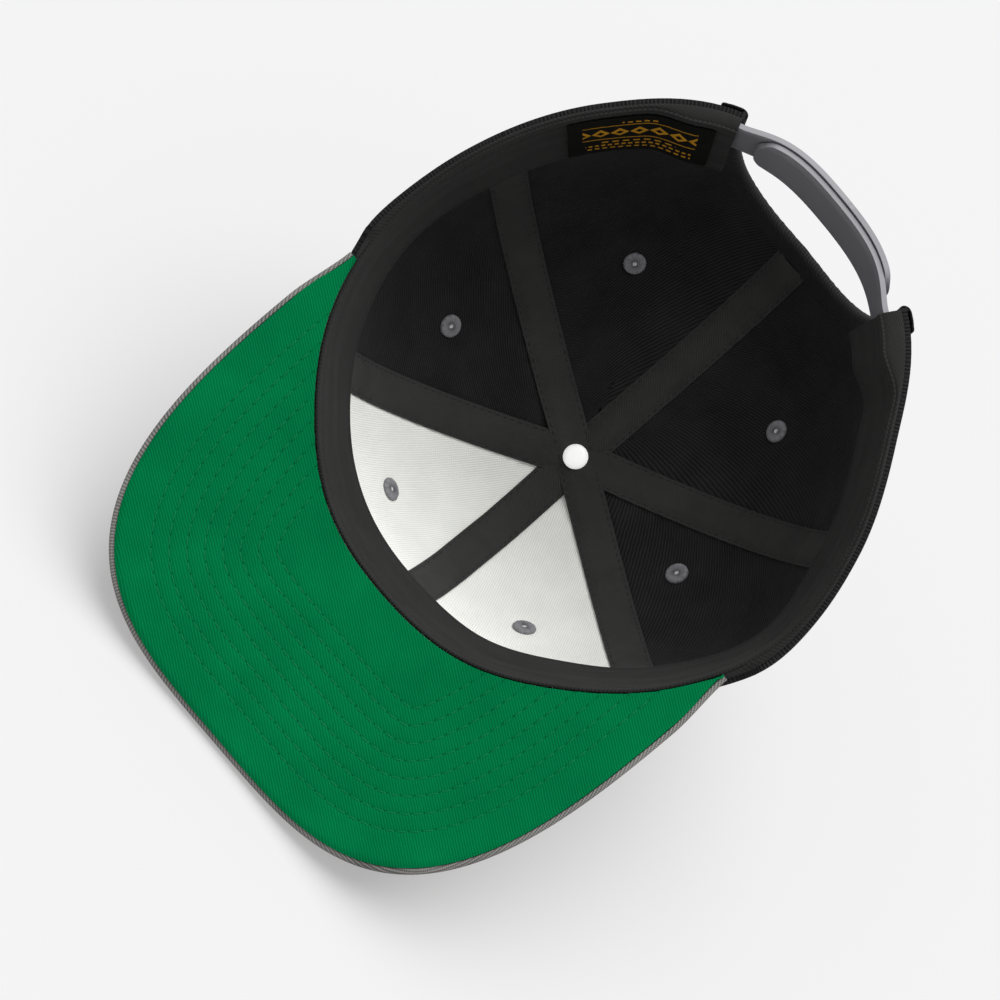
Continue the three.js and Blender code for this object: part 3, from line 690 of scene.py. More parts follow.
def charted(az, down, side, off, relief):
    """A point beside a seam: side millimetres across it, down millimetres from the top."""
    flat = np.maximum(cap_radius(az, total(az) - down), 1e-6)
    bearing = np.degrees(np.arctan(side / flat))
    reach = np.where(down > 1e-6, down * np.hypot(1, side / flat), np.abs(side))
    at = az + bearing
    return crown(at, total(at) - reach, off, waves(at, total(at) - reach) + relief)


def tape_relief(down, side, seed, pace):
    allowance = 1 - ease(np.abs(side), 2.6, 6.2)
    run = down + 0.5 * np.sin(side / 2 + seed)
    pull = np.sin(run * pace + 2.2 * np.sin(run / 9 + seed)) * np.sin(run / 12 + seed) ** 2
    sag = 0.16 * np.sin(run / 6.3 + seed * 2 + side / 5)
    return -(0.85 * allowance - 0.40) + 0.22 * pull * ease(np.abs(side), 1.2, 5.4) + sag * allowance


def lay_tape(name, path, wrinkle, seed, lift, pace, columns):
    """path(t) gives bearing, distance from the top and which way is left, for shares of its length."""
    def face(t, side):
        az, down, flip = path(t)
        raised = lift * (1 - ease(down, 10, 24))
        relief = tape_relief(down + 200 * (flip < 0), side, seed, pace) * wrinkle
        return charted(az, down, side * flip, -0.25 - raised, relief)

    def place(s, t):
        side = (0.5 - s) * tape_w
        az, down, flip = path(t)
        return face(t, side), np.stack([side, down * flip, s], -1)
    piece = sheet(name + "_cloth", 16, columns, place)
    wall(piece, tape_t, bevel=0.16)
    piece.data.materials.append(seam_tape)
    rows = 0
    span = np.sum(np.linalg.norm(np.diff(face(np.linspace(0, 1, 200), 0.0), axis=0), axis=1)) / mm
    t = np.arange(1.5, span - 1.5, sew_pitch) / span
    for side in (-tape_w / 2 + 1.1, tape_w / 2 - 1.1):
        beside = np.full_like(t, side)
        centres, heads = face(t, beside), face(t + 0.002, beside) - face(t - 0.002, beside)
        outs = np.cross(heads, face(t, beside - 0.5) - face(t, beside + 0.5))
        outs = turn_outs(outs, centres, lay([top_x, top_y, 0]), -1)
        rows += sew(piece, centres, heads, outs, sew_length, sew_thick, black_thread)
    print(name, "length", round(span, 1), "stitches", rows)
    return piece


def seam_path(az, low, end):
    reach = float(total(az))
    return lambda t: (np.full_like(t, az), reach - (low + (reach - end - low) * t), np.ones_like(t))


def cross_path(t):
    up_az, down_az = seams["right"], seams["back_left"]
    a, b = float(total(up_az)) - tape_start, float(total(down_az)) - tape_start
    run = -a + (a + b) * t
    rising = run < 0
    return np.where(rising, up_az, down_az), np.maximum(np.abs(run), 1e-4), np.where(rising, 1.0, -1.0)


back_start, back_over = arch_height + arch_edge + bind_w + gap, 2.2
tapes = [  # name, path, wrinkle depth, seed, lift near the top, pace of the wrinkles, columns
    ("cross", cross_path, 1.0, 0.4, 1.1, 1.15, 300),
    ("front", seam_path(seams["front"], tape_start, 1.0), 0.8, 1.9, 0.0, 1.15, 150),
    ("left", seam_path(seams["left"], tape_start, 1.0), 1.1, 3.1, 0.55, 1.15, 150),
    ("back", seam_path(seams["back"], back_start - back_over, 1.0), 1.5, 4.6, 0.0, 0.62, 150),
    ("right", seam_path(seams["back_right"], tape_start, 1.0), 1.0, 5.5, 0.55, 1.15, 150)]
for name, *settings in tapes:
    piece = lay_tape("tape_" + name, *settings)
    dress(piece, "seam_tape", "tape_" + name)

# %% [markdown]
# ## Sweatband
# The band is a strip of cotton twill folded over at the rim, stitched just inside the fold, and free
# at its deep edge, where it stands off the crown. Sewing a straight strip to a round rim leaves soft
# lengthwise wrinkles. It is one long grid with a rolled fold, wrinkles in its relief and two rows of
# stitches, and it reaches from one end of the opening to the other.

# %% The sweatband
band_w, band_t, band_stand, band_end, band_fold, band_off = 32.0, 1.3, 4.4, 158.6, 0.6, 0.55
band_radius, closing_az = 93.0, 77.2
strap_t, strap_off = 1.5, -1.0
leaf_room = band_off - strap_off + strap_t + gap
band_twill = woven("band_twill", srgb(43, 43, 42), srgb(26, 26, 26), srgb(64, 64, 64),
                   (60, 0.7), (150, 0.55), 0.08)


def band_off_at(az, length):
    stand = band_stand * (np.maximum(length, 0) / band_w) ** 1.2
    room = leaf_room * ease(az, band_end - 16, band_end - 7)
    room = room + (leaf_room + strap_t + gap) * ease(-az, band_end - 16, band_end - 7)
    return band_off - stand - room


def band_relief(az, length):
    a = np.radians(az)
    wander = 1.6 * np.sin(3 * a + 0.5) + 0.9 * np.sin(7 * a + 2) + 0.5 * np.sin(17 * a)
    crease = 0
    for middle, deep, seed in ((8.5, 0.34, 0.0), (13.0, -0.42, 1.7), (18.5, 0.38, 3.3), (24.5, -0.3, 4.9)):
        strength = 0.5 + 0.5 * np.sin(4 * a + seed) * np.sin(9 * a + 2 * seed)
        crease = crease + deep * strength * np.exp(-((length - middle - wander) / 1.5) ** 2)
    needle = 0.32 * np.exp(-((length - 3.9) / 0.8) ** 2) + 0.22 * np.exp(-((length - 29.6) / 0.7) ** 2)
    pucker = 0.12 * np.sin(az * 3.1 + 2 * np.sin(a * 5)) * np.exp(-((length - 5.5) / 3.5) ** 2)
    roll = -0.45 * np.exp(-((length - 1.0) / 1.1) ** 2)
    return crease + needle + pucker + roll


def band_face(az, length):
    """The band's inner face, the side that touches the head."""
    off = band_off_at(az, length) - band_t
    p = on_crown(az, np.maximum(length, 0), off, band_relief(az, length))
    return p + np.minimum(length, 0)[..., None] * turn[:, 2] * mm


def band_place(s, t):
    az = band_end * (1 - 2 * s)
    length = -band_fold + (band_w + band_fold) * t
    arc = np.radians(az) * band_radius
    return band_face(az, length), np.stack([arc, length, t], -1)


piece = sheet("sweatband_cloth", 420, 34, band_place)
wall(piece, band_t - 0.15, bevel=0.4, segments=3)
piece.data.materials.append(band_twill)
band_rows = ((3.9, 3.3), (29.6, 3.6))  # distance from the rim, pitch
for length, pitch in band_rows:
    az = np.arange(-band_end + 1.2, band_end - 1.2, math.degrees(pitch / band_radius))
    lengths = np.full_like(az, length)
    centres, heads, outs = row_frames(band_face, az, lengths, 0.6, 0.0, 1)
    outs = turn_outs(outs, centres, lay([0, 0, 40]), -1)
    rows = sew(piece, centres, heads, outs, pitch - 0.9, 0.5, black_thread)
    print("band stitches", rows)


# %% [markdown]
# From the brim's ends to the opening the band and the gores are sewn together at the rim, so a narrow
# folded strip closes the space between them on each side. It is joined to the band.

# %% The closed rim from the brim to the opening
def closing_place(first, last):
    def place(s, t):
        az = first + (last - first) * s
        outer_off, inner_off = 1.3, band_off_at(az, 0.0) - 0.3
        off = outer_off + (inner_off - outer_off) * t
        bulge = 0.55 * np.sin(np.pi * t) ** 0.6
        lifted = front_lift(az) * (1 - t)
        swell = rim_shape(az, lifted) * (1 - t)
        p = on_crown(az, lifted, off, swell) - bulge[:, None] * turn[:, 2] * mm
        return p, np.stack([np.radians(az) * band_radius, off, t], -1)
    return place


for first, last in ((-band_end, -closing_az), (closing_az, band_end)):
    strip = sheet("rim_closing", 150, 10, closing_place(first, last))
    wall(strip, 0.35, bevel=0)
    strip.data.materials.append(band_twill)
    join(piece, strip)
dress(piece, "sweatband", "sweatband")

# %% [markdown]
# A woven label is sewn into the band near one end of the opening. It carries only a plain ornament of
# gold rules, a row of diamonds and a row of dashes, drawn by its material from the cloth coordinates.

# %% The label and its ornament
label_from, label_to, label_gap, label_margin = 128.0, 155.0, 0.65, 1.5
ornament_half = 18.5


def label_ornament(tree, place, colour, height):
    parts = put(tree, "SeparateXYZ", {0: place}).outputs
    along, across = parts[0], parts[1]
    inside = calc(tree, "LESS_THAN", calc(tree, "ABSOLUTE", along), ornament_half)

    def rule(level, half):
        return calc(tree, "LESS_THAN", calc(tree, "ABSOLUTE", calc(tree, "SUBTRACT", across, level)), half)

    def diamonds(level, pitch, reach):
        shift = calc(tree, "MULTIPLY_ADD", along, 1 / pitch, 40.5)
        cell = calc(tree, "ABSOLUTE", calc(tree, "SUBTRACT", calc(tree, "FRACT", shift), 0.5))
        far = calc(tree, "ABSOLUTE", calc(tree, "SUBTRACT", across, level))
        return calc(tree, "LESS_THAN", calc(tree, "MULTIPLY_ADD", cell, pitch, far), reach)

    def dashes(level, half, pitch, reach):
        cell = calc(tree, "FRACT", calc(tree, "MULTIPLY_ADD", along, 1 / pitch, 40.5))
        short = calc(tree, "MULTIPLY", calc(tree, "LESS_THAN", cell, 0.62),
                     calc(tree, "LESS_THAN", calc(tree, "ABSOLUTE", along), reach))
        return calc(tree, "MULTIPLY", rule(level, half), short)
    gold = rule(8.6, 0.3)
    for extra_mark in (rule(19.4, 0.3), diamonds(14.0, 6.2, 3.0), dashes(6.4, 0.5, 2.6, 5.5),
                       dashes(22.0, 0.45, 3.4, 12), dashes(24.4, 0.5, 2.2, 17.5),
                       dashes(26.8, 0.5, 2.6, 17.5)):
        gold = calc(tree, "MAXIMUM", gold, extra_mark)
    gold = calc(tree, "SUBTRACT", gold, diamonds(14.0, 6.2, 1.3))
    gold = calc(tree, "MAXIMUM", calc(tree, "MULTIPLY", gold, inside), 0.0)
    yarn = noise(tree, place, 3.0, 2.0)
    tone = blend(tree, yarn, srgb(120, 82, 10), srgb(196, 142, 36))
    return blend(tree, gold, colour, tone), calc(tree, "MULTIPLY_ADD", gold, 0.6, height)


label_cloth = woven("label_cloth", srgb(17, 17, 15), srgb(9, 9, 8), srgb(30, 29, 27),
                    (90, 0.42), (0, 0.5), 0.05, roughness=0.85, sheen=0.0, contrast=0.8,
                    extra=label_ornament)


def label_place(s, t):
    az = label_to + (label_from - label_to) * s
    length = 2 * label_margin + (band_w - 3 * label_margin) * t
    edge = (np.abs(2 * s - 1) ** 8 + np.abs(2 * t - 1) ** 8) / 2
    bow = 0.25 * np.sin(np.pi * s) * np.sin(np.pi * t) - 0.25 * edge
    off = band_off_at(az, length) - band_t - label_gap - 0.35 - bow
    points = on_crown(az, length, off, 0.6 * band_relief(az, length))
    middle = (label_from + label_to) / 2
    return points, np.stack([(az - middle) * np.pi / 180 * 100.0, length, t], -1)


piece = sheet("woven_label", 60, 34, label_place)
wall(piece, 0.45, bevel=0.12)
piece.data.materials.append(label_cloth)
dress(piece, "label", "label")

# %% [markdown]
# ## The bound opening
# The half-round opening over the strap is bound with a folded strip that wraps the cut edge and is
# stitched through. Its section is a long U, drawn once and carried round the opening's outline.

# %% Binding of the opening
bind_clear, bind_cloth, bind_row, fold_round = 0.1, 0.45, 6.3, 2.2
fold_from, fold_to = 0.34, 0.66
leaf_out, leaf_in = out_face + bind_clear, in_face - bind_clear


def bind_section(q):
    """q from 0 to 1 goes from the outer leaf's end round the fold to the inner leaf's end."""
    high, low = leaf_out + bind_cloth, leaf_in - bind_cloth
    middle, half = (high + low) / 2, (high - low) / 2
    turn_share = np.clip((q - fold_from) / 0.32, 0, 1)
    angle = np.pi / 2 - np.pi * turn_share
    d = fold_round - fold_round * np.cos(angle)
    off = middle + half * np.sin(angle)
    leaf = np.where(q < fold_from, (fold_from - q) / fold_from, np.maximum(q - fold_to, 0) / fold_from)
    d = d + leaf * (bind_w - fold_round)
    groove = 0.1 * np.exp(-((d - bind_row) / 0.7) ** 2) * (leaf > 0)
    tuck = 0.06 * ease(leaf, 0.6, 1.0) + 0.42 * ease(leaf, 0.9, 1.0) * (off > middle)
    return d, off - np.sign(off - middle) * (groove + tuck)


def bind_face(angle, q):
    side, up = arch_line(0, angle)
    ahead, behind = arch_line(0, np.clip(angle + 0.5, 0, 180)), arch_line(0, np.clip(angle - 0.5, 0, 180))
    run = np.stack([ahead[0] - behind[0], ahead[1] - behind[1]], -1)
    run /= np.linalg.norm(run, axis=-1, keepdims=True)
    away_side, away_up = run[..., 1], -run[..., 0]
    ends = (angle < 0.5) | (angle > 179.5)
    away_side, away_up = np.where(ends, np.sign(side), away_side), np.where(ends, 0.0, away_up)
    d, off = bind_section(q)
    ripple = 0.07 * np.sin(angle * 1.4 + q * 5) + 0.05 * np.sin(angle * 3.3)
    return on_crown(arch_az(side + away_side * d), np.maximum(up + away_up * d, 0), off, ripple)


def even_angles(n):
    dense = np.linspace(0, 180, 1441)
    side, up = arch_line(0, dense)
    run = np.concatenate([[0], np.cumsum(np.hypot(np.diff(side), np.diff(up)))])
    return np.interp(np.linspace(0, run[-1], n), run, dense), run[-1]


arch_marks = 401
arch_angles, arch_run = even_angles(arch_marks)


def bind_place(s, t):
    angle = np.interp(s, np.linspace(0, 1, arch_marks), arch_angles)
    d, off = bind_section(t)
    return bind_face(angle, t), np.stack([s * arch_run, np.where(t < 0.5, d, -d), t], -1)


piece = sheet("opening_binding", 190, 40, bind_place)
centre = np.array(lay([0, 60, 30]))
wall(piece, bind_cloth, bevel=0.12)
piece.data.materials.append(binding_twill)
shares_along = np.arange(2.0, arch_run - 2.0, 3.0) / arch_run
angle = np.interp(shares_along, np.linspace(0, 1, arch_marks), arch_angles)
row_share = fold_from * (1 - (bind_row - fold_round) / (bind_w - fold_round))
# The third row, of pale thread just inside the fold, is a painted highlight of the fold's edge.
bind_rows = [  # share of the section, way out, stitch length, thickness, thread
    (row_share, 1, 2.3, 0.45, black_thread), (1 - row_share, -1, 2.3, 0.45, black_thread),
    (0.655, -1, 2.7, 0.35, fold_highlight_thread)]
for q, way, length, thick, finish in bind_rows:
    qs = np.full_like(angle, q)
    centres = bind_face(angle, qs)
    heads = bind_face(np.clip(angle + 0.4, 0, 180), qs) - bind_face(np.clip(angle - 0.4, 0, 180), qs)
    outs = np.cross(heads, bind_face(angle, qs + 0.01) - bind_face(angle, qs - 0.01))
    outs = turn_outs(outs, centres, centre, way)
    print("binding stitches", sew(piece, centres, heads, outs, length, thick, finish))

for way in (-1, 1):
    def end_place(s, t, way=way):
        side, off = way * (arch_half + 0.3 + 1.2 * s), leaf_in + (leaf_out - leaf_in) * t
        return on_crown(arch_az(side), np.full_like(side, 0.15), off), np.stack([side, off, t], -1)
    end = sheet("binding_end", 6, 6, end_place)
    wall(end, 0.3, bevel=0)
    end.data.materials.append(binding_twill)
    join(piece, end)
dress(piece, "seam_tape", "arch_binding")

# %% [markdown]
# ## The brim
# The brim is a stiff board between two cloths. Its underside is green twill, quilted by eight rows of
# stitches parallel to the edge; its upper side is grey twill, which rolls over the edge and frames the
# green. In plan the edge is a superellipse. For every point the distance from the edge and the run
# along it are worked out, so the quilting, its grooves and its needle holes all follow the edge.

# %% The brim's plan and height
brim_half, brim_depth, brim_power, brim_tilt, brim_curve = 90.4, 68.2, 3.44, math.radians(8.07), 0.00155
under_t, brim_root = 1.0, 0.55
end_draw, end_draw_run = 1.8, 24
tip, joint = look_up(surface, 0.0, 0.0), look_up(surface, join_az, 0.0)
plan_depth = joint[1] - (tip[1] - brim_depth)


def brim_edge(grow, angles):
    c, q = np.cos(angles), np.maximum(np.sin(angles), 0)
    x = (brim_half + grow) * np.sign(c) * np.abs(c) ** (2 / brim_power)
    return np.stack([x, joint[1] - (plan_depth + grow) * q ** (2 / brim_power)], -1)


edge_marks = 1201
dense = np.linspace(math.pi, 0, 60001)
outline = brim_edge(0, dense)
run = np.concatenate([[0], np.cumsum(np.linalg.norm(np.diff(outline, axis=0), axis=1))])
edge_angles = np.interp(np.linspace(0, run[-1], edge_marks), run, dense)
outline = brim_edge(0, edge_angles)
heading = np.gradient(outline, axis=0)
heading /= np.linalg.norm(heading, axis=1, keepdims=True)
inward = np.stack([-heading[:, 1], heading[:, 0]], -1)
turned_by = np.unwrap(np.arctan2(heading[:, 1], heading[:, 0]))
turned_by -= turned_by[edge_marks // 2]
run_along = np.linspace(0, run[-1], edge_marks) - run[-1] / 2
print("brim edge length", round(run[-1], 1), "plan depth", round(float(plan_depth), 1))


def brim_height(x, y):
    return tip[2] - math.tan(brim_tilt) * (tip[1] - y) - brim_curve * x * x


def brim_point(s, k, grow, off):
    """s goes along the brim from 0 to 1, k from the root to the edge; off is the height over the green."""
    az = (2 * s - 1) * join_az
    root = look_up(surface, az, np.zeros_like(az))
    out = np.stack([np.sin(np.radians(az)), -np.cos(np.radians(az))], -1)
    start = root[..., :2] + out * brim_root
    end = brim_edge(grow, np.interp(s, np.linspace(0, 1, edge_marks), edge_angles))
    end[..., 0] -= np.sign(end[..., 0]) * end_draw * (1 - ease(joint[1] - end[..., 1], 0, end_draw_run))
    xy = start + (end - start) * k[..., None]
    mend = root[..., 2] - brim_height(start[..., 0], start[..., 1])
    z = brim_height(xy[..., 0], xy[..., 1]) + mend * (1 - k) ** 2 + off
    return np.concatenate([xy, z[..., None]], -1)


def edge_place(xy):
    """Run along the edge and distance from it, for points of the plan."""
    far, along = np.empty(len(xy)), np.empty(len(xy))
    for i in range(0, len(xy), 4000):
        gaps = np.linalg.norm(xy[i:i + 4000, None] - outline[None, ::2], axis=2)
        best = np.argmin(gaps, axis=1)
        far[i:i + 4000] = gaps[np.arange(len(best)), best]
        along[i:i + 4000] = run_along[best * 2] - far[i:i + 4000] * turned_by[best * 2]
    return along, far


first_row, row_pitch, row_count, stitch_pitch = 11.0, 5.5, 8, 4.1


def row_groove(far, depth, width):
    rows = first_row + row_pitch * np.arange(row_count)
    return depth * np.sum(np.exp(-((far[:, None] - rows) / width) ** 2), axis=1)


# %% [markdown]
# Needle holes are small dark dots between the stitches: painted shade in the pits. Along each row line
# the cloth is also blended to a darker colour, painted shade of the row's groove. They are part of the
# finish: the material reads a second attribute, rows, that holds the run along the edge and the distance from
# it.

# %% Finishes of the brim
def needle_holes(dark, light):
    def extra(tree, place, colour, height):
        rows = put(tree, "Attribute", attribute_name="rows").outputs["Vector"]
        parts = put(tree, "SeparateXYZ", {0: rows}).outputs

        def off_line(value, start, pitch):
            share = calc(tree, "FRACT", calc(tree, "MULTIPLY_ADD", value, 1 / pitch, 60.5 - start / pitch))
            return calc(tree, "MULTIPLY", calc(tree, "ABSOLUTE", calc(tree, "SUBTRACT", share, 0.5)), pitch)
        across = off_line(parts[1], first_row, row_pitch)
        along = off_line(parts[0], 0.0, stitch_pitch)
        known = calc(tree, "MULTIPLY", calc(tree, "GREATER_THAN", parts[1], first_row - 2),
                     calc(tree, "LESS_THAN", parts[1], first_row + row_pitch * (row_count - 1) + 2))
        reach = calc(tree, "SQRT", calc(tree, "ADD", calc(tree, "MULTIPLY", across, across),
                                        calc(tree, "MULTIPLY", calc(tree, "MULTIPLY", along, along), 0.5)))
        # Dots take the dark colour as painted shade in the needle holes; along each row line the cloth is
        # blended to the colour passed as light, painted shade of the groove.
        hole = calc(tree, "MULTIPLY", spread(tree, reach, 0.16, 0.42, 0.6, 0.0), known)
        painted_groove_shade = calc(tree, "MULTIPLY", spread(tree, across, 0.2, 0.9, 0.22, 0.0), known)
        colour = blend(tree, painted_groove_shade, colour, light)
        return blend(tree, hole, colour, dark), calc(tree, "MULTIPLY_ADD", hole, -0.8, height)
    return extra


# The two colours after the weave are the painted shade of the needle holes and of the row grooves.
green_twill = woven("green_twill", srgb(1, 112, 64), srgb(0, 84, 47), srgb(10, 128, 80),
                    (-62, 0.85), (28, 0.6), 0.07, sheen=0.0, shine=0.02,
                    extra=needle_holes(srgb(0, 46, 26), srgb(0, 90, 51)))
grey_twill = woven("grey_twill", srgb(140, 138, 135), srgb(76, 75, 74), srgb(196, 195, 192),
                   (38, 1.05), (128, 0.7), 0.2, extra=needle_holes(srgb(48, 47, 46), srgb(96, 94, 92)))


# %% The green underside
def under_place(s, t):
    flat = brim_point(s, t, -0.05, 0.0)
    along, far = edge_place(flat[:, :2])
    quilt = row_groove(far, 0.17, 0.8) + 0.5 * np.exp(-(far / 0.8) ** 2)
    swell = -0.10 * np.sin(flat[:, 0] / 23 + 1) * np.sin(flat[:, 1] / 19) * ease(far, 2, 14)
    flat[:, 2] += quilt + np.maximum(swell, -0.1)
    under_place.rows = np.stack([along, far, t], -1)
    return lay(flat), np.concatenate([flat[:, :2], t[:, None]], -1)


piece = sheet("brim_green", 250, 112, under_place)
remember(piece, under_place.rows, "rows")
edit_all(piece)
bpy.ops.mesh.flip_normals()
bpy.ops.object.mode_set(mode="OBJECT")
wall(piece, under_t - 0.1, bevel=0)
piece.data.materials.append(green_twill)


# %% Quilting stitches on either face of the brim
def quilt_rows(piece, finish, facing, thick):
    """Rows of stitches parallel to the edge, dropped onto the face of the brim that looks towards facing."""
    bpy.context.view_layer.update()
    tree = BVHTree.FromObject(piece, bpy.context.evaluated_depsgraph_get())
    down = Vector((-turn[:, 2] * facing).tolist())
    root_line = brim_point(np.linspace(0, 1, 400), np.zeros(400), 0.0, 0.0)[:, :2]
    batches = []
    for row in range(row_count):
        far = first_row + row_pitch * row
        along = run_along - far * turned_by
        marks = stitch_pitch * (np.arange(-80, 80) + 0.5)
        marks = marks[(marks > along[0]) & (marks < along[-1])]
        for mark in marks:
            spots = []
            for nudge in (-0.4, 0.0, 0.4):
                at = np.interp(mark + nudge, along, np.arange(edge_marks))
                i = int(round(at))
                edge = np.array([np.interp(at, np.arange(edge_marks), outline[:, c]) for c in (0, 1)])
                spots.append(edge + inward[i] * far)
            middle = spots[1]
            if np.min(np.linalg.norm(outline - middle, axis=1)) < far - 0.25:
                continue
            if np.min(np.linalg.norm(root_line - middle, axis=1)) < 3.0 or middle[1] > joint[1]:
                continue
            start = Vector(lay([middle[0], middle[1], brim_height(*middle)]).tolist()) - down * 0.03
            hit, normal, _, _ = tree.ray_cast(start, down, 0.06)
            if hit is None:
                continue
            ends = lay(np.array([[*spots[0], brim_height(*spots[0])], [*spots[2], brim_height(*spots[2])]]))
            batches.append((np.array(hit), ends[1] - ends[0], np.array(normal)))
    centres, heads, outs = (np.array([b[c] for b in batches]) for c in range(3))
    outs *= np.sign(np.sum(outs * -np.array(down), axis=1))[:, None]
    return sew(piece, centres + outs * 0.00004, heads, outs, stitch_pitch - 0.4, thick, finish)


print("green stitches", quilt_rows(piece, green_thread, -1, 0.36))
dress(piece, "green_twill", "brim_under")


# %% [markdown]
# The grey upper cloth is one closed shell: over the top, round the rolled edge, and back under the
# green to the root. Its section is walked round in shares, and the two end walls are filled in.

# %% The grey upper side with its rolled edge
roll, roll_centre = 1.65, 1.75
section_marks = np.array([0, 0.60, 0.80, 0.83, 0.96, 1.0])


def top_place(s, t):
    part = np.clip(np.searchsorted(section_marks, t, side="right") - 1, 0, 4)
    share = (t - section_marks[part]) / (section_marks[part + 1] - section_marks[part])
    angle = np.pi / 2 - np.pi * share
    k = np.select([part == 0, part == 3, part == 4], [share, 1 - share, 0 * share], 1.0)
    grow = np.select([part == 1], [0.15 + roll * np.cos(angle)], 0.15)
    off = np.select([part == 0, part == 1, part == 2, part == 3],
                    [brim_t + 0 * share, roll_centre + roll * np.sin(angle),
                     0.1 + (under_t + gap - 0.1) * share, under_t + gap + 0 * share],
                    under_t + gap + (brim_t - under_t - gap) * share)
    flat = brim_point(s, k, grow, off)
    along, far = edge_place(flat[:, :2])
    far = np.where(part == 0, far, 0)
    flat[:, 2] -= np.where(part == 0, row_groove(far, 0.26, 0.8), 0)
    top_place.rows = np.stack([along, far, t], -1)
    extra_run = np.where(part == 1, roll * (np.pi / 2 - angle), 0)
    last = edge_marks - 1
    out = -inward[np.clip(np.round(s * last).astype(int), 0, last)]
    cloth = brim_point(s, k, 0.15, off)[:, :2] + out * extra_run[:, None]
    return lay(flat), np.concatenate([cloth, t[:, None]], -1)


piece = sheet("brim_grey", 250, 100, top_place)
remember(piece, top_place.rows, "rows")
edit_all(piece)
bpy.ops.mesh.remove_doubles(threshold=0.00002)
bpy.ops.mesh.select_all(action="DESELECT")
bpy.ops.mesh.select_mode(type="EDGE")
bpy.ops.mesh.select_non_manifold(extend=False, use_wire=False, use_multi_face=False, use_non_contiguous=False,
                                 use_verts=False)
bpy.ops.mesh.fill_holes(sides=0)
bpy.ops.mesh.select_all(action="SELECT")
bpy.ops.mesh.normals_make_consistent(inside=False)
bpy.ops.object.mode_set(mode="OBJECT")
smooth_shade(piece, 50)
piece.data.materials.append(grey_twill)
print("grey stitches", quilt_rows(piece, grey_thread, 1, 0.5))
dress(piece, "grey_twill", "brim_top")

# %% [markdown]
# ## The snap strap
# Two leaves of moulded plastic close the back. The outer leaf has a row of holes, the inner one a row
# of mushroom studs that snap through them. Each leaf is a grid with one rounded end, given a wall and
# rounded edges; the holes are cut by a Boolean, and a stud is spun once and copied.

# %% Moulded plastic
strap_w, strap_lean, strap_tuck, strap_short, strap_corner = 19.0, 2.4, 9.0, 6.5, 7.0
strap_bow, strap_twist = 4.3, 2.2
stud_count, stud_pitch, stud_r, stud_head, stud_clear = 6, 9.5, 1.9, 2.7, 0.4
inner_off = strap_off - strap_t - gap
plastic, tree, shader = new_finish("strap_plastic", Specular_IOR_Level=0.5)
where = put(tree, "TexCoord").outputs["Object"]
grain, flow = noise(tree, where, 1400.0, 3.0), noise(tree, where, 55.0, 3.0)
scuff = spread(tree, noise(tree, where, 260.0, 5.0, 0.8), 0.60, 0.76)
rub = spread(tree, put(tree, "NewGeometry").outputs["Pointiness"], 0.50, 0.56)
tone = blend(tree, flow, srgb(98, 98, 103), srgb(110, 109, 115))
tone = blend(tree, calc(tree, "MULTIPLY", rub, 0.4), tone, srgb(140, 140, 144))
tone = blend(tree, calc(tree, "MULTIPLY", scuff, 0.2), tone, srgb(132, 132, 136))
tree.links.new(tone, shader.inputs["Base Color"])
tree.links.new(calc(tree, "MULTIPLY_ADD", scuff, 0.18, 0.42), shader.inputs["Roughness"])
tree.links.new(put(tree, "Bump", {"Strength": 0.5, "Distance": 0.00005, "Height": grain}).outputs[0],
               shader.inputs["Normal"])


def strap_point(side, up, off):
    az = arch_az(side)
    p = look_up(surface, az, np.zeros_like(az))
    out = np.stack([np.sin(np.radians(az)), -np.cos(np.radians(az)), np.zeros_like(az)], -1)
    free = (1 - np.minimum(np.abs(side / arch_half), 1) ** 4) ** 2
    p = p + out * (off + strap_bow * free - (strap_lean + strap_twist * free) * up / strap_w)[..., None]
    p[..., 2] += up
    return lay(p)


strap_swell, strap_extra = 0.6, 0.3


def leaf(name, high, low, round_at, off, thick, bead):
    """A strap leaf between two sides, rounded at one, its edges standing proud by bead."""
    def place(s, t):
        start, end = 0.08 * (s / 0.12) ** 1.8, 1 - 0.08 * ((1 - s) / 0.12) ** 1.8
        fine = np.where(s < 0.12, start, np.where(s > 0.88, end, 0.08 + 0.84 * (s - 0.12) / 0.76))
        side = high + (low - high) * fine
        d = np.minimum(np.abs(side - round_at), strap_corner)
        inset = strap_corner - np.sqrt(np.maximum(strap_corner ** 2 - (strap_corner - d) ** 2, 0))
        up = inset + (strap_w - 2 * inset) * t
        raised = bead * np.exp(-(np.minimum(up, strap_w - up) / 1.3) ** 2)
        return strap_point(side, up, off - strap_extra + raised), np.stack([side, up, t], -1)
    piece = sheet(name, 160, 26, place)
    wall(piece, thick, bevel=0)
    piece.data.materials.append(plastic)
    return piece


left_end, right_end = arch_half + strap_tuck, -arch_half - strap_tuck
outer = leaf("strap_leaf_outer", left_end, -arch_half + strap_short, -arch_half + strap_short,
             strap_off + strap_swell, strap_t + strap_swell - strap_extra, 0.30)
inner = leaf("strap_leaf_inner", arch_half - strap_short, right_end, arch_half - strap_short,
             inner_off, strap_t + strap_extra, 0.48)


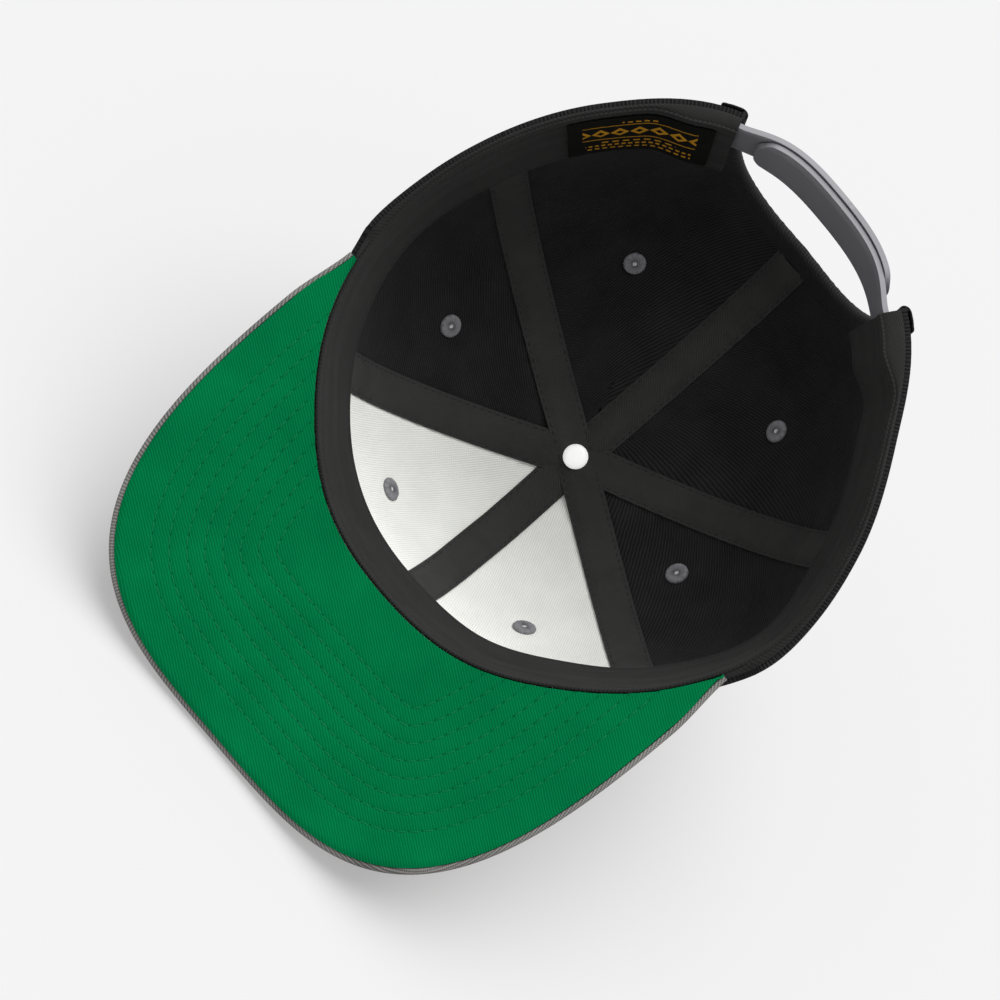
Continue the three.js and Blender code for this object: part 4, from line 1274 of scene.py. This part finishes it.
# %% Spun parts
def spun(name, profile, steps):
    """A profile of radius and height in millimetres, drawn by extruding a point and spun about Z."""
    bpy.ops.object.select_all(action="DESELECT")
    bpy.ops.mesh.primitive_plane_add(size=0.002)
    piece = bpy.context.object
    piece.name = piece.data.name = name
    bpy.ops.object.mode_set(mode="EDIT")
    bpy.ops.mesh.select_all(action="SELECT")
    bpy.ops.mesh.merge(type="CENTER")
    bpy.ops.mesh.select_all(action="SELECT")
    bpy.ops.transform.translate(value=(profile[0][0], 0, profile[0][1]))
    for (r0, z0), (r1, z1) in zip(profile, profile[1:]):
        bpy.ops.mesh.extrude_vertices_move(TRANSFORM_OT_translate={"value": (r1 - r0, 0, z1 - z0)})
    bpy.ops.mesh.select_all(action="SELECT")
    bpy.ops.mesh.spin(steps=steps, angle=2 * math.pi, center=(0, 0, 0), axis=(0, 0, 1))
    bpy.ops.mesh.select_all(action="SELECT")
    bpy.ops.mesh.remove_doubles(threshold=0.002)
    bpy.ops.mesh.normals_make_consistent(inside=False)
    bpy.ops.object.mode_set(mode="OBJECT")
    return piece


def basis(x, y, z, at):
    """A matrix that takes a part drawn in millimetres to its place at rest, in metres."""
    m = np.eye(4)
    m[:3, 0], m[:3, 1], m[:3, 2], m[:3, 3] = x * mm, y * mm, z * mm, at
    return Matrix(m.tolist())


def strap_basis(side):
    side, half = np.array(side, float), np.array(0.5 * strap_w)
    at = strap_point(side, half, np.array(inner_off))
    x = strap_point(side - 1, half, np.array(inner_off)) - strap_point(side + 1, half, np.array(inner_off))
    y = strap_point(side, half + 5, np.array(inner_off)) - strap_point(side, half - 5, np.array(inner_off))
    x, y = x / np.linalg.norm(x), y / np.linalg.norm(y)
    z = np.cross(x, y)
    z /= np.linalg.norm(z)
    return basis(x, np.cross(z, x), z, at)


reach = gap + strap_t + gap + strap_swell
stud_profile = [(0.0, -0.7), (stud_r + 0.5, -0.7), (stud_r + 0.15, 0.15), (stud_r, 0.6), (stud_r, reach),
                (stud_head - 0.25, reach), (stud_head, reach + 0.2), (stud_head, reach + 0.45),
                (stud_head - 0.5, reach + 0.9), (stud_head - 1.3, reach + 1.15), (0.0, reach + 1.2)]
stud = spun("stud", stud_profile, 24)
pin = spun("hole_pin", [(0.0, -2.0), (stud_r + stud_clear, -2.0), (stud_r + stud_clear, 5.0), (0.0, 5.0)], 24)
places = [strap_basis((i - (stud_count - 1) / 2) * stud_pitch) for i in range(stud_count)]


def copies(pattern, matrices, name):
    made = []
    for matrix in matrices:
        mesh = pattern.data.copy()
        mesh.transform(matrix)
        obj = bpy.data.objects.new(name, mesh)
        bpy.context.scene.collection.objects.link(obj)
        made.append(obj)
    bpy.data.objects.remove(pattern)
    join(*made)
    return bpy.context.object


cutter = copies(pin, places, "hole_pins")
holes = outer.modifiers.new("holes", "BOOLEAN")
holes.operation, holes.solver, holes.object = "DIFFERENCE", "EXACT", cutter
apply_all(outer)
bpy.data.objects.remove(cutter)
studs = copies(stud, places, "studs")
studs.data.materials.append(plastic)
smooth_shade(studs)
join(inner, studs)
for piece, node in ((outer, "strap_outer"), (inner, "strap_inner")):
    edge = piece.modifiers.new("edge", "BEVEL")
    edge.width, edge.segments, edge.limit_method, edge.angle_limit = 0.22 * mm, 3, "ANGLE", math.radians(60)
    apply_all(piece)
    smooth_shade(piece, 35)
    dress(piece, "strap_plastic", node)

# %% [markdown]
# ## Eyelets, button and rivet
# An eyelet is embroidered: dense thread laid radially round a punched hole, on both faces of the
# cloth. One is spun with twice as many steps as threads, and every other step is pulled in a little, so
# that each thread stands as a ridge. The five others are copies.

# %% Embroidered eyelets
eyelet_r, eyelet_hole = 4.0, 0.55
lo, hi = in_face - gap - 0.5, out_face + gap
thread_steps = 88
ring = [(eyelet_hole, 0.9), (eyelet_hole + 0.05, lo - 0.05), (eyelet_hole + 0.35, lo - 0.45),
        (1.8, lo - 0.66), (2.7, lo - 0.75), (3.4, lo - 0.62), (3.85, lo - 0.2),
        (eyelet_r, lo + 0.35), (3.8, in_face - 0.08),
        (2.3, in_face - 0.08), (2.3, out_face + 0.08), (3.8, out_face + 0.08), (eyelet_r, hi - 0.1),
        (3.85, hi + 0.3), (3.4, hi + 0.62), (2.7, hi + 0.75), (1.8, hi + 0.66),
        (eyelet_hole + 0.35, hi + 0.45),
        (eyelet_hole + 0.05, hi + 0.05), (eyelet_hole, 3.2), (eyelet_hole, 0.9)]
eyelet = spun("eyelet", ring, thread_steps)
points = read_points(eyelet)
radius = np.hypot(points[:, 0], points[:, 1])
turn_of = np.arctan2(points[:, 1], points[:, 0])
step = np.round(turn_of / (2 * math.pi / thread_steps)).astype(int)
face_side = np.where(points[:, 2] > 2, 1.0, -1.0)
on_face = (points[:, 2] > hi) | (points[:, 2] < lo)
points[:, 2] -= np.where(on_face & (step % 2 == 1), 0.15 * face_side, 0)
uneven = 1 + 0.035 * np.sin(step * 2.4) * (radius > 3)
points[:, :2] *= uneven[:, None]
write_points(eyelet, points)
remember(eyelet, np.stack([step * 0.5, radius, points[:, 2]], -1))

eyelet_thread, tree, shader = new_finish("eyelet_thread", Specular_IOR_Level=0.15)
place = put(tree, "Attribute", attribute_name="cloth").outputs["Vector"]
parts = put(tree, "SeparateXYZ", {0: place}).outputs
stretched = put(tree, "VectorMath", {0: place, 1: (3.0, 0.6, 1.0)}, operation="MULTIPLY").outputs[0]
strand = noise(tree, stretched, 1.0, 3.0)
tone = blend(tree, strand, srgb(108, 108, 111), srgb(146, 146, 150))
# Towards the hole the thread is darkened as painted shade of the hole's well.
painted_well_shade = spread(tree, parts[1], 0.9, 1.8, 0.3, 0.0)
tone = blend(tree, painted_well_shade, tone, srgb(70, 70, 74))
# The hole's own wall is painted near white: painted light, as if the bright floor showed through the hole.
tone = blend(tree, calc(tree, "LESS_THAN", parts[1], 0.72), tone, srgb(250, 250, 250))
tree.links.new(tone, shader.inputs["Base Color"])
tree.links.new(spread(tree, strand, 0.3, 0.7, 0.55, 0.72), shader.inputs["Roughness"])
tree.links.new(put(tree, "Bump", {"Distance": 0.00008, "Height": strand}).outputs[0], shader.inputs["Normal"])
eyelet.data.materials.append(eyelet_thread)


def seat(az, length):
    az, length = np.array(float(az)), np.array(float(length))
    at = on_crown(az, length, 0.0)
    z = on_crown(az, length, 1.0) - at
    x = on_crown(az + 0.5, length, 0.0) - on_crown(az - 0.5, length, 0.0)
    z /= np.linalg.norm(z)
    y = np.cross(z, x)
    y /= np.linalg.norm(y)
    return basis(np.cross(y, z), y, z, at)


for name, (az, from_top) in eyelets.items():
    mesh = eyelet.data.copy()
    mesh.transform(seat(az, total(az) - from_top))
    piece = bpy.data.objects.new(f"eyelet_ring_{name}", mesh)
    bpy.context.scene.collection.objects.link(piece)
    smooth_shade(piece, 55)
    dress(piece, "eyelet_thread", f"eyelet_{name}")
bpy.data.objects.remove(eyelet)

# %% [markdown]
# The button on the crown's top is a metal dome covered in the brim's grey twill, and the rivet inside
# is its pale back plate. Both are spun from a profile and set at the top of the crown.

# %% Button and rivet
button_r, button_h, rivet_r, rivet_h, rivet_low = 7.0, 5.0, 4.4, 1.6, -2.3
seat_z = out_face + gap
top_matrix = basis(turn[:, 0], turn[:, 1], turn[:, 2], lay([top_x, top_y, crown_height]))
angles = np.radians([0, 12, 26, 40, 54, 66, 78, 90])
dome = [(button_r * math.cos(a) * (1 if a < 1.57 else 0), seat_z + 1.2 + (button_h - 1.2) * math.sin(a))
        for a in angles]
button_profile = [(0.0, seat_z), (5.6, seat_z), (6.5, seat_z + 0.25), (6.9, seat_z + 0.7)] + dome
button = spun("cloth_button", button_profile, 64)
points = read_points(button)
radius, bearing = np.hypot(points[:, 0], points[:, 1]), np.arctan2(points[:, 1], points[:, 0])
gather = 0.10 * np.sin(16 * bearing) * ease(radius, 5.2, 6.8) * (points[:, 2] < seat_z + 2.2)
points[:, :2] *= (1 - np.abs(gather))[:, None] ** 0.5
remember(button, points)
write_points(button, points)
button.data.transform(top_matrix)
smooth_shade(button)
button.data.materials.append(grey_twill)
button.data.attributes.new("rows", "FLOAT_VECTOR", "POINT")
dress(button, "grey_twill", "top_button")

# The back plate also glows a little: the emission is painted light that keeps the plate bright.
enamel_with_painted_glow, tree, shader = new_finish("rivet_plate_painted_glow", Emission_Color=(1, 1, 1, 1), Emission_Strength=0.36)
where = put(tree, "TexCoord").outputs["Object"]
cloud = noise(tree, where, 320.0, 4.0)
scratch = put(tree, "TexWave", {"Vector": where, "Scale": 420.0, "Distortion": 14.0,
                                "Detail": 3.0}).outputs["Fac"]
mark = spread(tree, scratch, 0.93, 1.0)
tone = blend(tree, cloud, srgb(236, 236, 232), srgb(250, 250, 248))
tone = blend(tree, calc(tree, "MULTIPLY", mark, 0.35), tone, srgb(176, 176, 174))
tree.links.new(tone, shader.inputs["Base Color"])
tree.links.new(spread(tree, cloud, 0.3, 0.7, 0.26, 0.4), shader.inputs["Roughness"])
tree.links.new(put(tree, "Bump", {"Strength": 0.4, "Distance": 0.00006, "Height": mark}).outputs[0],
               shader.inputs["Normal"])
rivet_face, post_r = rivet_low - rivet_h, 1.4
rivet_profile = [(0.0, rivet_face), (1.6, rivet_face + 0.04), (2.9, rivet_face + 0.22),
                 (3.7, rivet_face + 0.5), (4.15, rivet_low - 0.75), (rivet_r, rivet_low - 0.35),
                 (rivet_r - 0.05, rivet_low - 0.08), (rivet_r - 0.3, rivet_low), (post_r, rivet_low),
                 (post_r, seat_z + 1.9), (0.0, seat_z + 1.9)]
rivet = spun("top_rivet", rivet_profile, 56)
rivet.data.transform(top_matrix)
smooth_shade(rivet)
rivet.data.materials.append(enamel_with_painted_glow)
dress(rivet, "rivet", "rivet")

# %% [markdown]
# ## Studio
# A large pale floor, an even sky and one very soft sun almost overhead: enough to show the weave, with
# a soft shadow round the cap. The camera looks down into the crown, turned about its own axis as in
# the picture that the cap was built from.

# %% Floor, light and camera
scene = bpy.context.scene
bpy.ops.object.select_all(action="DESELECT")
bpy.ops.mesh.primitive_plane_add(size=14)
floor = bpy.context.object
floor.name = "studio_floor"
paper, tree, shader = new_finish("studio_paper", Base_Color=(0.319, 0.319, 0.319, 1), Roughness=1.0,
                                 Specular_IOR_Level=0.0, Emission_Color=(1, 1, 1, 1), Emission_Strength=0.34)
floor.data.materials.append(paper)

world = bpy.data.worlds.new("studio_sky")
scene.world = world
world.use_nodes = True
world.node_tree.nodes["Background"].inputs["Color"].default_value = (1, 1, 1, 1)
world.node_tree.nodes["Background"].inputs["Strength"].default_value = 0.62

bpy.ops.object.select_all(action="DESELECT")
bpy.ops.object.light_add(type="SUN", location=(0, 1, 2))
sun = bpy.context.object
sun.name = "soft_sun"
sun.data.energy, sun.data.angle = 3.90, math.radians(64)
sun.rotation_euler = Vector((-0.02, -0.34, -1)).to_track_quat("-Z", "Y").to_euler()

right = Vector((0.654738, 0.575334, 0.489969))
above = Vector((-0.74545, 0.385298, 0.543703))
back = Vector((0.124026, -0.721396, 0.681323))
bpy.ops.object.camera_add()
camera = bpy.context.object
camera.name = "camera"
camera.matrix_world = Matrix(((right.x, above.x, back.x, 0.13413), (right.y, above.y, back.y, -0.80876),
                              (right.z, above.z, back.z, 0.81253), (0, 0, 0, 1)))
camera.data.lens, camera.data.sensor_width = 123.39, 36.0
camera.data.clip_end = 50
scene.camera = camera
scene.view_settings.view_transform = "Standard"
scene.view_settings.look = "None"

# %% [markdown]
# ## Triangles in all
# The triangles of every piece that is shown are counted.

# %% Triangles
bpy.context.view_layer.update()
shown = [o for o in bpy.data.objects if o.type == "MESH" and not o.hide_render]
print("triangles in all", sum(triangles(o) for o in shown))
